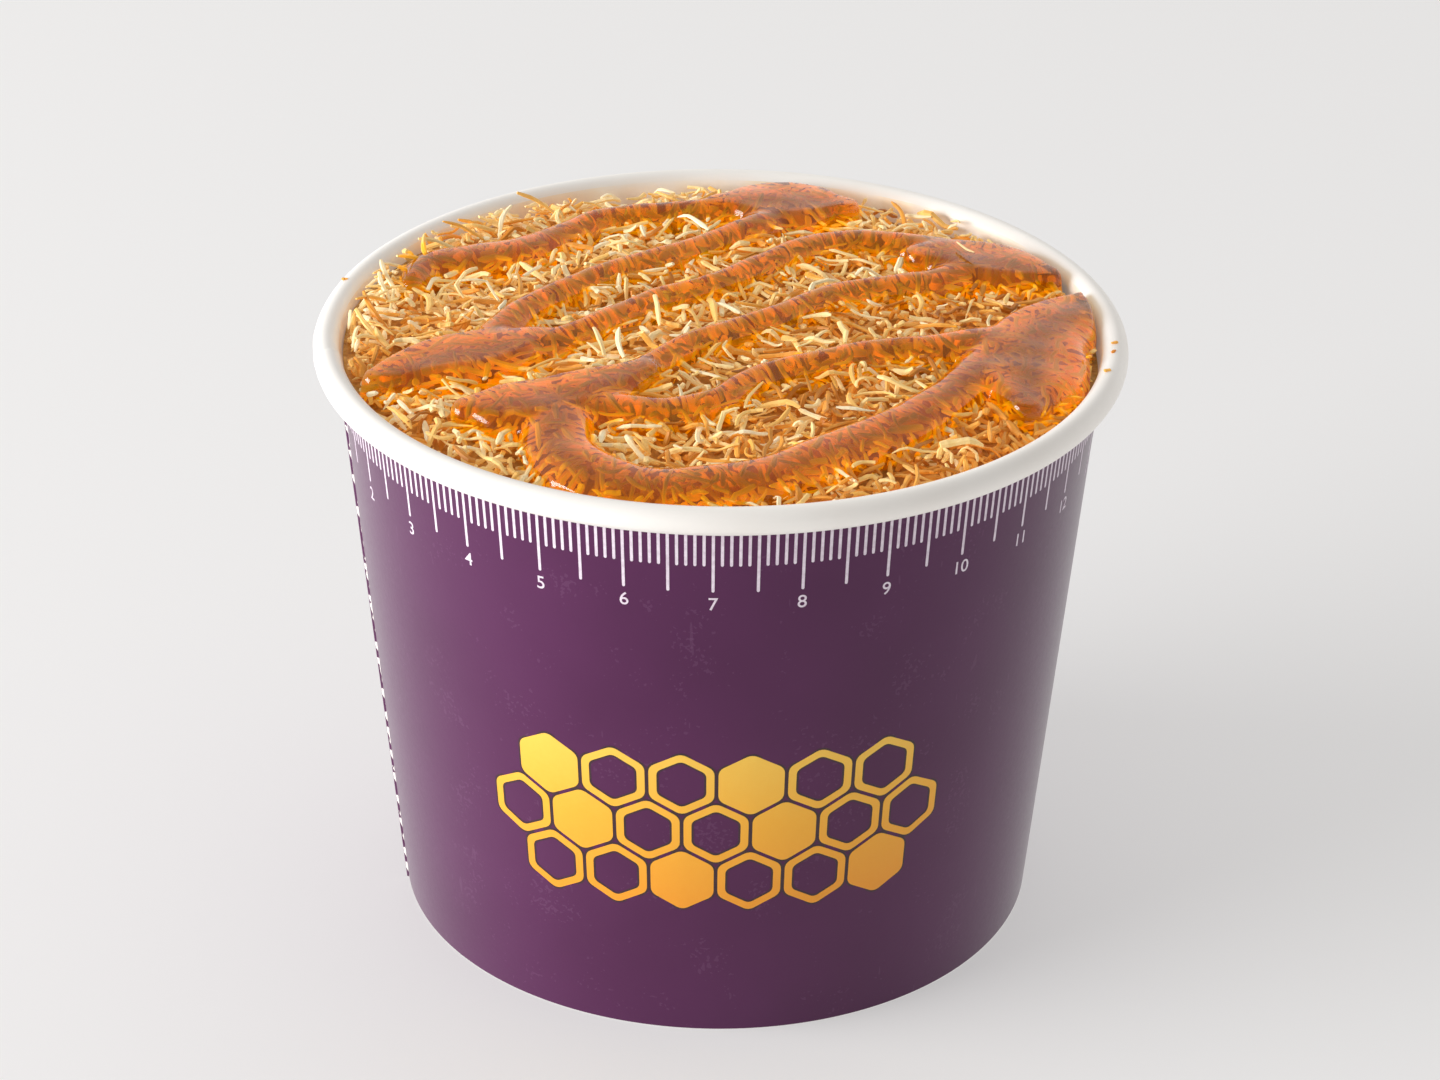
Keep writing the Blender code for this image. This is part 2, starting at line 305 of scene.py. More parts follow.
def overlap(direction):
    """How far the second layer of paper stands out at a direction, measured from the front."""
    behind = (SEAM - direction) % (2 * math.pi)
    rise = smooth_blend(behind, 0, SEAM_LINE)
    fall = 1 - smooth_blend(behind, SEAM_REACH * 0.4, SEAM_REACH)
    return SEAM_STEP * rise * fall


def bead_line(direction):
    """1 along the fine line that the sheet's end leaves across the bead."""
    away = np.abs((direction - SEAM + math.pi) % (2 * math.pi) - math.pi)
    return 1 - smooth_blend(away, SEAM_LINE * 0.3, SEAM_LINE)


def round_the_cup():
    """Evenly spaced directions, with closer ones at the seam."""
    even = np.linspace(-math.pi, math.pi, CUP_SIDES, endpoint=False)
    even = even[np.abs(even - SEAM) > SEAM_STRETCH]
    return np.sort(np.concatenate([even, SEAM + CLOSE_TO_SEAM]))


# %% Profile of the wall
BEAD_STEPS = 28
WALL_STEPS = 12
FOOT_BEVEL = (0.15 * MM, 0.25 * MM)


def bead_outline():
    """The rolled rim from its inner side over the top to where it meets the wall outside."""
    centre_r = RIM_RADIUS - BEAD_RADIUS
    centre_z = CUP_HEIGHT - BEAD_RADIUS
    last = -math.pi + math.acos(min(1, (centre_r - wall_radius(WALL_TOP)) / BEAD_RADIUS))
    angles = np.linspace(math.pi, last, BEAD_STEPS)
    return [(centre_r + BEAD_RADIUS * math.cos(a), centre_z + BEAD_RADIUS * math.sin(a)) for a in angles]


def wall_outline():
    """(radius, height, share of the overlap) once round the section of the wall."""
    hem = 2 * (PAPER + GAP)
    bevel_in, bevel_up = FOOT_BEVEL
    outline = [(r, z, 0.5) for r, z in bead_outline()]
    outline += [(wall_radius(z), z, 1.0) for z in np.linspace(WALL_TOP, bevel_up, WALL_STEPS)[1:]]
    outline += [(wall_radius(0) - bevel_in, 0, 0.5)]
    outline += [(wall_radius(0) - hem - PAPER, 0, 0)]
    outline += [(wall_radius(HEM_HEIGHT) - hem - PAPER, HEM_HEIGHT, 0)]
    outline += [(wall_radius(HEM_HEIGHT) - hem, HEM_HEIGHT, 0)]
    outline += [(wall_radius(0) - hem, PAPER, 0)]
    outline += [(wall_radius(0) - PAPER, PAPER, 0)]
    outline += [(inner_radius(z), z, 0) for z in np.linspace(4 * PAPER, WALL_TOP, WALL_STEPS)]
    return np.array(outline)


def turned_points(outline, directions, standing_out):
    """Points of a profile at each direction, pushed out where the paper overlaps."""
    return round_the_axis(outline[:, 0][:, None] + standing_out, directions, outline[:, 1][:, None])


# %% Finish of the bare paper
# Height above which the inner face has warm orange patches beside the filling
WARM_PATCHES_FROM = 66 * MM
PAPER_GLOW = 0.13


def white_board():
    """Unprinted white of the sheet's inner side: faint fibres, and warm orange patches beside the filling.

    Thin paper lets some light through, so a faint glow stands for that.
    """
    board = Finish("white_board")
    cloud = board.grain(90, detail=3)
    fibre = board.grain(2600, detail=4)
    colour = board.ramp(cloud, (0.3, (0.82, 0.78, 0.735)), (0.7, (0.86, 0.83, 0.79)))
    x, y, z = (board.part(board.place(), axis) for axis in range(3))
    middle = z * ((WALL_TOP_RADIUS - FOOT_RADIUS) / WALL_TOP) + (FOOT_RADIUS - PAPER / 2)
    inside = (x * x + y * y < middle * middle) * (z > WARM_PATCHES_FROM)
    warm_patch = board.ramp(board.grain(130, detail=3), (0.35, (0.0, 0.0, 0.0)), (0.6, (0.75, 0.75, 0.75)))
    colour = board.mix(inside * warm_patch, colour, (0.86, 0.66, 0.40))
    return board.surface({
        "Base Color": colour,
        "Emission Color": (0.95, 0.90, 0.83),
        "Emission Strength": PAPER_GLOW,
        "Roughness": fibre * 0.15 + 0.40,
        "Normal": board.bump(fibre, 0.012 * MM, 0.5),
        "Coat Weight": 0.12,
        "Coat Roughness": 0.3,
    })


# %% Make the wall
BEAD_FROM = WALL_TOP + 0.2 * MM
BEAD_LINE_DEPTH = 0.10 * MM


def make_wall(material):
    directions = round_the_cup()
    outline = wall_outline()
    standing_out = outline[:, 2][:, None] * overlap(directions)[None, :]
    on_bead = (outline[:, 1] > BEAD_FROM)[:, None]
    standing_out = standing_out - on_bead * bead_line(directions)[None, :] * BEAD_LINE_DEPTH
    points = turned_points(outline, directions, standing_out)
    too_far = np.maximum(1, np.hypot(points[..., 0], points[..., 1]) / RIM_RADIUS)
    points[..., :2] /= too_far[..., None]
    faces = grid_faces(len(outline), len(directions), wrap_rows=True, wrap_columns=True)
    return new_piece("paper_wall", points.reshape(-1, 3), faces, material)


board = white_board()
wall = make_wall(board)
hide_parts("cup_wall")

# %% [markdown]
# The base is a disc set a little above the table, with a skirt glued between the wall and its hem. The
# filling hides its upper side, but it shows when the cup is seen from below.

# %% Make the base
SKIRT_END = 0.8 * MM
MIDDLE_RADIUS = 0.3 * MM
FOLD_WIDTH = 1.0 * MM
FOLD_HEIGHT = 0.4 * MM
SHARP_FOLD = math.radians(35)


def make_base(material):
    inset = PAPER + GAP
    top = BASE_LEVEL + PAPER
    outline = np.array([
        (MIDDLE_RADIUS, top),
        (wall_radius(top) - inset - FOLD_WIDTH, top),
        (wall_radius(top) - inset, top - FOLD_HEIGHT),
        (wall_radius(SKIRT_END) - inset, SKIRT_END),
        (wall_radius(SKIRT_END) - inset - PAPER, SKIRT_END),
        (wall_radius(BASE_LEVEL) - inset - PAPER, BASE_LEVEL - FOLD_HEIGHT),
        (wall_radius(BASE_LEVEL) - inset - PAPER - FOLD_WIDTH, BASE_LEVEL),
        (MIDDLE_RADIUS, BASE_LEVEL),
    ])
    directions = np.linspace(-math.pi, math.pi, CUP_SIDES, endpoint=False)
    points = turned_points(outline, directions, np.zeros((1, CUP_SIDES)))
    faces = tube_faces(len(outline), CUP_SIDES)
    base = new_piece("paper_base", points.reshape(-1, 3), faces, material)
    base.data.set_sharp_from_angle(angle=SHARP_FOLD)
    return base


base = make_base(board)
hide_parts("cup_base")

# %% [markdown]
# Print
#
# The outside is printed dark purple with a semi-gloss varnish. The ink is modelled as what it is, a thin
# film on the board. It stops short of the foot, where a pale line of paper shows, and it has chipped off
# the sheet's cut edge at the seam. A painted texture could do the same, but would blur from close by.

# %% Finish of the ink
INK = 0.03 * MM
FIBRE_GRAIN = 1500


def varnished_purple():
    """Dark purple ink under varnish, with paper fibres showing as fine specks and hair-thin scuffs."""
    ink = Finish("varnished_purple")
    place = ink.place()
    cloud = ink.grain(45, detail=3)
    fibre = ink.grain(FIBRE_GRAIN, detail=5, roughness=0.65)
    speck = ink.grain(2100, detail=1) * ink.grain(160, detail=2)
    stretched = ink.node("ShaderNodeMapping", {}, {"Vector": place, "Scale": (900, 900, 140)})
    scuff = ink.grain(1, detail=2, vector=stretched)
    colour = ink.ramp(cloud, (0.3, (0.076, 0.0085, 0.061)), (0.7, (0.090, 0.012, 0.074)))
    colour = ink.mix((speck > 0.40) * 0.12, colour, (0.26, 0.12, 0.24))
    colour = ink.mix((scuff > 0.745) * 0.10, colour, (0.28, 0.14, 0.26))
    return ink.surface({
        "Base Color": colour,
        "Roughness": fibre * 0.16 + 0.26,
        "Normal": ink.bump(fibre, 0.02 * MM, 0.4),
        "Specular IOR Level": 0.30,
        "Sheen Weight": 0.5,
        "Sheen Roughness": 0.35,
    })


def pale_ink():
    """Pinkish white of the ruler."""
    ink = Finish("pale_ink")
    fibre = ink.grain(FIBRE_GRAIN, detail=4)
    colour = ink.ramp(fibre, (0.3, (0.70, 0.58, 0.68)), (0.6, (0.84, 0.74, 0.83)))
    return ink.surface({"Base Color": colour, "Roughness": 0.4})


# %% Printed film round the wall
PRINT_FOOT = 0.12 * MM
PRINT_TOP = WALL_TOP + 0.35 * MM
FILM_ROWS = 130
FILM_SUNK = 0.2 * MM
SHARP_EDGE = math.radians(40)
CHIP_SIZE = 1.1 * MM
CHIP_DEPTH = math.radians(1.1)
CHIPPED_FROM = -0.08
CHIP_ROW = 14.0
NEAR_EDGE = np.radians([1.6, 1.2, 0.7, 0.35, 0.22, 0.11, 0.0])


def chipped(heights):
    """How far the ink has chipped off the sheet's cut edge at each height, as a direction."""
    rag = [noise.noise(Vector((z / CHIP_SIZE, CHIP_ROW, 0))) for z in heights]
    return np.maximum(np.array(rag) - CHIPPED_FROM, 0) * CHIP_DEPTH


def make_print_film(material):
    heights = np.linspace(PRINT_FOOT, PRINT_TOP, FILM_ROWS)
    last = SEAM + 2 * math.pi - NEAR_EDGE[0]
    even = np.tile(np.linspace(SEAM, last, CUP_SIDES)[:-1], (len(heights), 1))
    left = NEAR_EDGE[0] - chipped(heights)
    close = last + left[:, None] * (1 - NEAR_EDGE / NEAR_EDGE[0])[None, :]
    directions = np.concatenate([even, close], axis=1)
    face = wall_radius(heights)[:, None] + overlap(directions)
    inner, outer = (round_the_axis(face + depth, directions, heights[:, None]) for depth in (-FILM_SUNK, INK))
    closed_sheet("print_film", inner, outer, material)


def closed_sheet(name, inner, outer, material):
    """A closed thin shell between two grids of points of the same size."""
    rows, columns = inner.shape[:2]
    faces = grid_faces(rows, columns)
    count = rows * columns
    border = list(range(columns)) + [r * columns + columns - 1 for r in range(1, rows)]
    border += list(range(count - 2, count - columns - 1, -1)) + [r * columns for r in range(rows - 2, 0, -1)]
    sides = [(a, a + count, b + count, b) for a, b in zip(border, border[1:] + border[:1])]
    faces = faces[:, ::-1].tolist() + (faces + count).tolist() + sides
    points = np.concatenate([inner.reshape(-1, 3), outer.reshape(-1, 3)])
    piece = new_piece(name, points, faces, material)
    piece.data.set_sharp_from_angle(angle=SHARP_EDGE)


make_print_film(varnished_purple())

# %% [markdown]
# Ruler
#
# A ruler in centimetres runs round the cup just under the rim, with a long mark at each number and half
# number. Marks and numerals are ink too, so they are thin shapes bent onto the cone: a flat shape's x
# becomes a direction and its y a height. The numerals start as text in Blender's own plain typeface.

# %% Flat shapes onto the cone
NUMBER_SEVEN = -0.0135
NUMBER_STEP = 0.2248
RULER_FIRST = 0.9
RULER_LAST = 28.6
DIVISIONS = 10
MARK_WIDTH = 0.35 * MM
LONG_MARK_END = 62.27 * MM
SHORT_MARK_END = 65.7 * MM
INK_SUNK = 0.06 * MM
RULER_INK = INK + 0.02 * MM
COMB_EDGE_INK = INK + 0.01 * MM
COMB_INK = INK + 0.035 * MM


def number_direction(number):
    """Direction of a place on the ruler, from the front."""
    return NUMBER_SEVEN + (number - 7) * NUMBER_STEP


def bent(flat, direction, height, lift):
    """Flat points (x, y) laid on the print round a direction and height."""
    flat = np.asarray(flat, float)
    z = height + flat[:, 1]
    turn = direction + flat[:, 0] / wall_radius(height)
    return round_the_axis(wall_radius(z) + overlap(turn) + lift, turn, z)


def mark_outline(length):
    """A thin bar that hangs down from y 0, with a rounded lower end."""
    half = MARK_WIDTH / 2
    end = [(half * math.cos(a), -length + half + half * math.sin(a)) for a in np.linspace(0, -math.pi, 7)]
    return [(half, 0)] + end + [(-half, 0)]


class InkShapes:
    """Collects flat shapes with a little thickness and makes one piece of them."""

    def __init__(self, lift):
        self.points = []
        self.faces = []
        self.count = 0
        self.lift = lift

    def add(self, flat, faces, border, direction, height):
        """Both sides of one flat shape, joined along its border."""
        size = len(flat)
        for lift in (self.lift - INK_SUNK, self.lift):
            self.points.append(bent(flat, direction, height, lift))
        for face in faces:
            self.faces.append([self.count + corner for corner in reversed(face)])
            self.faces.append([self.count + size + corner for corner in face])
        for a, b in border:
            self.faces.append([self.count + corner for corner in (a, b, b + size, a + size)])
        self.count += 2 * size

    def piece(self, name, material):
        points = np.concatenate(self.points)
        new_piece(name, points, self.faces, material, smooth=False)


# %% Marks of the ruler
def add_marks(shapes):
    first, last = round(RULER_FIRST * DIVISIONS), round(RULER_LAST * DIVISIONS)
    top = WALL_TOP + 0.2 * MM
    for tenth in range(first, last + 1):
        end = LONG_MARK_END if tenth % (DIVISIONS // 2) == 0 else SHORT_MARK_END
        outline = mark_outline(top - end)
        order = list(range(len(outline)))[::-1]
        border = list(zip(order, order[1:] + order[:1]))
        shapes.add(outline, [order], border, number_direction(tenth / DIVISIONS), top)
    return last - first + 1


# %% Numerals of the ruler
NUMERAL_SIZE = 2.35 * MM
NUMERAL_TOP = LONG_MARK_END - 0.75 * MM


def flat_text(words):
    """Points, faces and border edges of a short text, its top edge at y 0 and centred on x 0."""
    curve = bpy.data.curves.new("numeral", "FONT")
    curve.body = words
    curve.size = NUMERAL_SIZE
    curve.align_x = "CENTER"
    curve.offset = 0.01 * MM
    curve.resolution_u = 4
    text = bpy.data.objects.new("numeral", curve)
    bpy.context.scene.collection.objects.link(text)
    bpy.context.view_layer.update()
    mesh = bpy.data.meshes.new_from_object(text.evaluated_get(bpy.context.evaluated_depsgraph_get()))
    flat = np.array([vertex.co.xy[:] for vertex in mesh.vertices])
    flat[:, 1] -= flat[:, 1].max()
    faces = [list(face.vertices) for face in mesh.polygons]
    bpy.data.objects.remove(text, do_unlink=True)
    bpy.data.meshes.remove(mesh)
    edges = {(a, b) for face in faces for a, b in zip(face, face[1:] + face[:1])}
    border = [(a, b) for a, b in edges if (b, a) not in edges]
    return flat, faces, sorted(border)


def add_numerals(shapes):
    numbers = range(math.ceil(RULER_FIRST), math.floor(RULER_LAST) + 1)
    for number in numbers:
        flat, faces, border = flat_text(str(number))
        shapes.add(flat, faces, border, number_direction(number), NUMERAL_TOP)
    return len(numbers)


ruler_shapes = InkShapes(RULER_INK)
print(add_marks(ruler_shapes), "marks and", add_numerals(ruler_shapes), "numerals")
ruler_shapes.piece("ruler_print", pale_ink())

# %% [markdown]
# Ornament
#
# The front carries a broad ornament in amber. Here it is a plain honeycomb: rounded cells in three rows,
# some filled and some open, by a simple rule. Each cell is a few rings of points, so that it follows
# the round wall, and a slightly larger dark cell under it gives the thin dark edge.

# %% Cells of the comb
CELL = 4.3 * MM
CELL_PITCH = 7.9 * MM
CELL_LINE = 1.05 * MM
CELL_EDGE = 0.28 * MM
COMB_HEIGHT = 29.0 * MM
COMB_HALF = 12 * MM
COMB_ROWS = (6, 7, 6)
CORNER_POINTS = 5
CORNER_ROUND = 0.34
FRONT = 0.0


def cell_outline(size):
    """A hexagon with rounded corners and one corner up."""
    points = []
    for corner in range(6):
        middle = math.radians(90 + 60 * corner)
        inset = size * CORNER_ROUND
        centre = Vector((math.cos(middle), math.sin(middle))) * (size - inset)
        round_size = inset * math.cos(math.radians(30))
        for turn in np.radians(np.linspace(-30, 30, CORNER_POINTS)):
            points.append(centre + Vector((math.cos(middle + turn), math.sin(middle + turn))) * round_size)
    return np.array([point[:] for point in points])


def add_cell(shapes, x, y, size, hole):
    """One cell as rings of points from its edge inwards, closed in the middle or left open."""
    outer = cell_outline(size)
    inner = cell_outline(hole) if hole else outer * 0.04
    steps = 3 if hole else 6
    rings = [outer + (inner - outer) * step / steps for step in range(steps + 1)]
    flat = np.concatenate(rings) + (x, y)
    count = len(outer)
    faces = grid_faces(steps + 1, count, wrap_columns=True).tolist()
    border = [(a, (a + 1) % count) for a in range(count)]
    last = steps * count
    if hole:
        border += [(last + (a + 1) % count, last + a) for a in range(count)]
    else:
        faces.append([last + a for a in range(count)])
    shapes.add(flat, faces, border, FRONT, COMB_HEIGHT)


def comb_cells():
    """(x, y, whether filled) for each cell of the comb."""
    cells = []
    for row, count in enumerate(COMB_ROWS):
        y = (len(COMB_ROWS) // 2 - row) * CELL_PITCH * math.sin(math.radians(60))
        for column in range(count):
            x = (column - (count - 1) / 2) * CELL_PITCH
            cells.append((x, y, (column + 2 * row) % 3 == 0))
    return cells


print(len(comb_cells()), "cells in the comb")

# %% Ink of the comb
def amber_ink():
    """Printed amber, yellow above and orange below."""
    ink = Finish("amber_ink")
    height = ink.part(ink.place(), 2)
    fibre = ink.grain(FIBRE_GRAIN, detail=4)
    share = (height - (COMB_HEIGHT - COMB_HALF)) * (1 / (2 * COMB_HALF)) + (fibre - 0.5) * 0.12
    colour = ink.ramp(share, (0.0, (0.91, 0.33, 0.012)), (0.55, (0.96, 0.46, 0.03)),
                      (1.0, (0.98, 0.60, 0.08)))
    return ink.surface({"Base Color": colour, "Roughness": 0.38})


def dark_ink():
    ink = Finish("dark_ink")
    fibre = ink.grain(FIBRE_GRAIN, detail=4)
    colour = ink.ramp(fibre, (0.3, (0.03, 0.010, 0.016)), (0.7, (0.05, 0.016, 0.024)))
    return ink.surface({"Base Color": colour, "Roughness": 0.4})


def make_comb():
    edge_shapes = InkShapes(COMB_EDGE_INK)
    cell_shapes = InkShapes(COMB_INK)
    for x, y, filled in comb_cells():
        hole = 0 if filled else CELL - CELL_LINE
        add_cell(edge_shapes, x, y, CELL + CELL_EDGE, hole and hole - CELL_EDGE)
        add_cell(cell_shapes, x, y, CELL, hole)
    edge_shapes.piece("comb_edge", dark_ink())
    cell_shapes.piece("comb_cells", amber_ink())


make_comb()

# %% [markdown]
# Level of the filling
#
# The pastry fills the cup in a low mound with lumps, and climbs the wall at the left and back left. A few
# functions of x and y say how high it is, so that the bed, the shreds and the honey all agree.

# %% Level of the pastry
LEVEL_AT_WALL = 71.6 * MM
MOUND_RISE = 1.8 * MM
WALL_CLIMB = 1.8 * MM
CLIMB_DIRECTION = math.radians(165)
CLIMB_FOCUS = 6
CLIMB_STEEPNESS = 8
LUMPS = ((9.0 * MM, 0.5 * MM), (4.2 * MM, 0.4 * MM))
HONEY_FOLLOWS = 0.4
WALL_CLEAR = 0.1 * MM
REACH = inner_radius(LEVEL_AT_WALL) - WALL_CLEAR


def noise_at(points, size):
    """Soft noise at arrays of places, from about -1 to 1."""
    flat = [noise.noise(Vector(point) / size) for point in np.reshape(points, (-1, 3))]
    return np.array(flat).reshape(np.shape(points)[:-1])


def mound_levels(x, y):
    """Height of the lumpy mound that the honey lies on, at arrays of places."""
    level = LEVEL_AT_WALL + MOUND_RISE * (1 - (x * x + y * y) / REACH**2)
    for size, depth in LUMPS:
        places = np.stack([x, y, np.full(np.shape(x), size * size / MM)], axis=-1)
        level = level + depth * noise_at(places, size)
    return level


def honey_levels(x, y):
    """Height that the honey's top follows: the mound with its lumps mostly levelled."""
    dome = LEVEL_AT_WALL + MOUND_RISE * (1 - (x * x + y * y) / REACH**2)
    return dome + HONEY_FOLLOWS * (mound_levels(x, y) - dome)


def pastry_levels(x, y):
    """Height of the pastry at arrays of places, with its climb at the wall."""
    outwards = np.hypot(x, y) / REACH
    facing = (1 + np.cos(np.arctan2(y, x) - CLIMB_DIRECTION)) / 2
    return mound_levels(x, y) + WALL_CLIMB * facing**CLIMB_FOCUS * outwards**CLIMB_STEEPNESS


print(f"filling {2 * REACH / MM:.1f} mm across, {LEVEL_AT_WALL / MM:.1f} mm up at the wall")

# %% [markdown]
# Honey
#
# The honey was poured back and forth while the hand moved forwards, so it lies in one zigzag with a pool
# at each turn. It is thick: it stands up with steep rounded sides and a nearly flat top. Each run is
# lofted along a smooth curve through a few places, with a full round section. The lofts are then merged
# by a voxel remesh and smoothed, which also gives the soft joints where runs meet.

# %% Route of the honey
# Each run and pool goes through these places: (x, y, half width) in millimetres
HONEY_RUNS = (
    ((-37.5, 12.5, 1.6), (-36, 17.5, 3.0), (-31, 19.6, 3.8), (-25, 21.3, 3.5), (-20, 26.5, 2.6),
     (-15, 31.4, 2.2), (-9, 33.2, 2.3), (-3, 34.3, 2.4), (5, 36, 3.0)),
    ((8, 34.5, 3.0), (4, 28.8, 2.8), (-2.5, 22.6, 2.0), (-8.5, 17.4, 2.1), (-14.2, 13.5, 2.1),
     (-20, 7.6, 2.2), (-23.8, 2.6, 2.3), (-26.3, -2.5, 3.0)),
    ((-22.5, -6.5, 3.0), (-17, -3.2, 2.2), (-12, 1.6, 2.0), (-7.5, 5.9, 2.0), (-3, 8.7, 1.8),
     (1, 12.3, 1.8), (5, 16.7, 2.0), (9, 21.1, 2.2), (14, 24.6, 2.4), (20, 25, 2.4), (27, 23, 3.4)),
    ((31.5, 18, 3.0), (26.5, 13.8, 2.7), (20, 11, 2.2), (14, 8, 2.1), (10, 4.7, 2.1), (6, 0.8, 2.0),
     (0, -3.8, 2.0), (-4, -6.9, 2.0), (-7, -10.6, 2.0), (-10, -14, 2.4), (-14, -17.5, 3.4)),
    ((-18, -21, 3.2), (-12.5, -22.4, 3.0), (-6, -22.9, 2.4), (-0.5, -20.7, 2.2), (2.5, -16.8, 2.0),
     (6, -13.4, 2.0), (12, -10.6, 2.1), (18, -7.6, 2.2), (25, -5.8, 2.4), (32, -3, 3.6)),
    ((34.5, -5, 3.8), (30.5, -10.5, 3.8), (27, -16.5, 3.3), (20.5, -25, 3.4), (13, -31.6, 3.7),
     (6, -36.6, 3.6), (-1, -39.3, 3.6), (-8, -39.8, 4.0), (-14.5, -36.7, 4.6), (-18, -31, 4.2),
     (-18.5, -24, 4.4)),
)
# Pools where the honey turned, as short wide runs: (x, y, half width) in millimetres
HONEY_POOLS = (
    ((0.6, 35.4, 2.6), (4, 36, 6.2), (8, 36.4, 7.2), (11.6, 36, 6.2), (14.8, 35.4, 2.6)),
    ((-39.8, -14.8, 1.8), (-37, -13, 3.8), (-32, -10, 5.6), (-26, -8, 5.4), (-22, -6, 2.6)),
    ((25, 19.6, 2.8), (28.5, 19.8, 5.4), (33, 19, 6.2), (37, 17, 4.6), (39.6, 15.8, 2.0)),
    ((-28.8, -23.2, 2.0), (-25, -22.6, 4.8), (-20, -21, 5.2), (-14.5, -18.5, 4.4), (-8.6, -14.6, 1.8)),
    ((44, 8.4, 2.6), (41, 4.4, 4.8), (37.4, -2, 6.4), (36, -8, 7.4), (35.4, -14, 6.4), (35, -20, 2.4)),
)
RUN_HEIGHT = 2.6 * MM
RUN_ROUNDNESS = 2.2
POOL_HEIGHT = 3.0 * MM
POOL_ROUNDNESS = 4
HONEY_DEPTH = 3.6 * MM
HONEY_STEP = 0.9 * MM
HONEY_SIDES = 28
END_ANGLES = np.radians((25, 48, 67, 82))
THIN_RUN = 1.6 * MM
THIN_RUN_HEIGHT = 0.35
print(len(HONEY_RUNS), "runs and", len(HONEY_POOLS), "pools of honey")


def spline_point(before, start, end, after, t):
    """One place on a smooth curve between two of its points."""
    return 0.5 * (
        2 * start
        + (end - before) * t
        + (2 * before - 5 * start + 4 * end - after) * t**2
        + (3 * start - before - 3 * end + after) * t**3
    )


def smooth_run(places):
    """(x, y, half width) in metres along a smooth curve through the places."""
    knots = [Vector(place) * MM for place in places]
    knots = [2 * knots[0] - knots[1]] + knots + [2 * knots[-1] - knots[-2]]
    run = []
    for before, start, end, after in zip(knots, knots[1:], knots[2:], knots[3:]):
        parts = max(1, round((end - start).length / HONEY_STEP))
        run += [spline_point(before, start, end, after, part / parts) for part in range(parts)]
    return np.array([place[:] for place in run + [knots[-2]]])


def round_ends(run):
    """The run with both ends drawn out into half circles."""
    closing = []
    for end, inner in ((run[0], run[1]), (run[-1], run[-2])):
        way = (end[:2] - inner[:2]) / np.linalg.norm(end[:2] - inner[:2])
        closing.append([np.append(end[:2] + way * end[2] * math.sin(angle), end[2] * math.cos(angle))
                        for angle in END_ANGLES])
    return np.concatenate([closing[0][::-1], run, closing[1]])


def kept_inside(points):
    """Places moved towards the middle where they would pass through the paper."""
    distance = np.hypot(points[..., 0], points[..., 1])
    scale = np.minimum(1, REACH / np.maximum(distance, MM))
    return points * scale[..., None]


def honey_loft(places, height, roundness):
    """Points and faces of one closed loft of honey lying on the mound."""
    run = round_ends(smooth_run(places))
    way = np.gradient(run[:, :2], axis=0)
    way /= np.linalg.norm(way, axis=1)[:, None]
    side = np.stack([-way[:, 1], way[:, 0]], axis=1)
    angles = np.linspace(0, 2 * math.pi, HONEY_SIDES, endpoint=False)
    across = run[:, 2][:, None] * np.cos(angles)
    flat = kept_inside(run[:, None, :2] + across[..., None] * side[:, None, :])
    fullness = np.sqrt(1 - np.abs(np.cos(angles)) ** roundness)
    wide = np.clip(run[:, 2] / THIN_RUN, 0, 1)[:, None]
    top = height * fullness * (THIN_RUN_HEIGHT + (1 - THIN_RUN_HEIGHT) * wide)
    rise = np.where(np.sin(angles) >= 0, top, -HONEY_DEPTH * fullness)
    level = honey_levels(flat[..., 0], flat[..., 1]) + rise
    points = np.concatenate([flat, level[..., None]], axis=-1)
    return points.reshape(-1, 3), tube_faces(len(run), HONEY_SIDES)


# %% Helpers to merge shapes
def joined(shapes):
    """Points and faces of several shapes as one list of each."""
    points, faces, count = [], [], 0
    for shape_points, shape_faces in shapes:
        points.append(shape_points)
        faces += [[count + corner for corner in face] for face in shape_faces]
        count += len(shape_points)
    return np.concatenate(points), faces


def evaluated_copy(piece):
    """The piece's mesh with its modifiers applied to it."""
    bpy.context.view_layer.update()
    graph = bpy.context.evaluated_depsgraph_get()
    mesh = bpy.data.meshes.new_from_object(piece.evaluated_get(graph))
    piece.modifiers.clear()
    piece.data = mesh
    return mesh


def rows_of(items, field):
    """The three numbers that each item of a mesh has, as rows."""
    numbers = np.empty(len(items) * 3, np.float32)
    items.foreach_get(field, numbers)
    return numbers.reshape(-1, 3).astype(float)


# %% [markdown]
# Look of the honey
#
# Honey is clear: it bends light like glass, and swallows blue first and then green, so it is gold where
# it is thin and red brown where it is deep. A glossy orange paint would have the colour of one depth
# only. A little haze in real honey spreads the light. To scatter it in a volume renders slowly, so a
# faint glow for each millimetre of depth stands for that. The light that makes its shadow goes straight
# through and is only tinted, which is far quicker than bending it.

# %% Finish of the honey
HONEY_HAZE = 0.07
HONEY_GLOW = 15.0


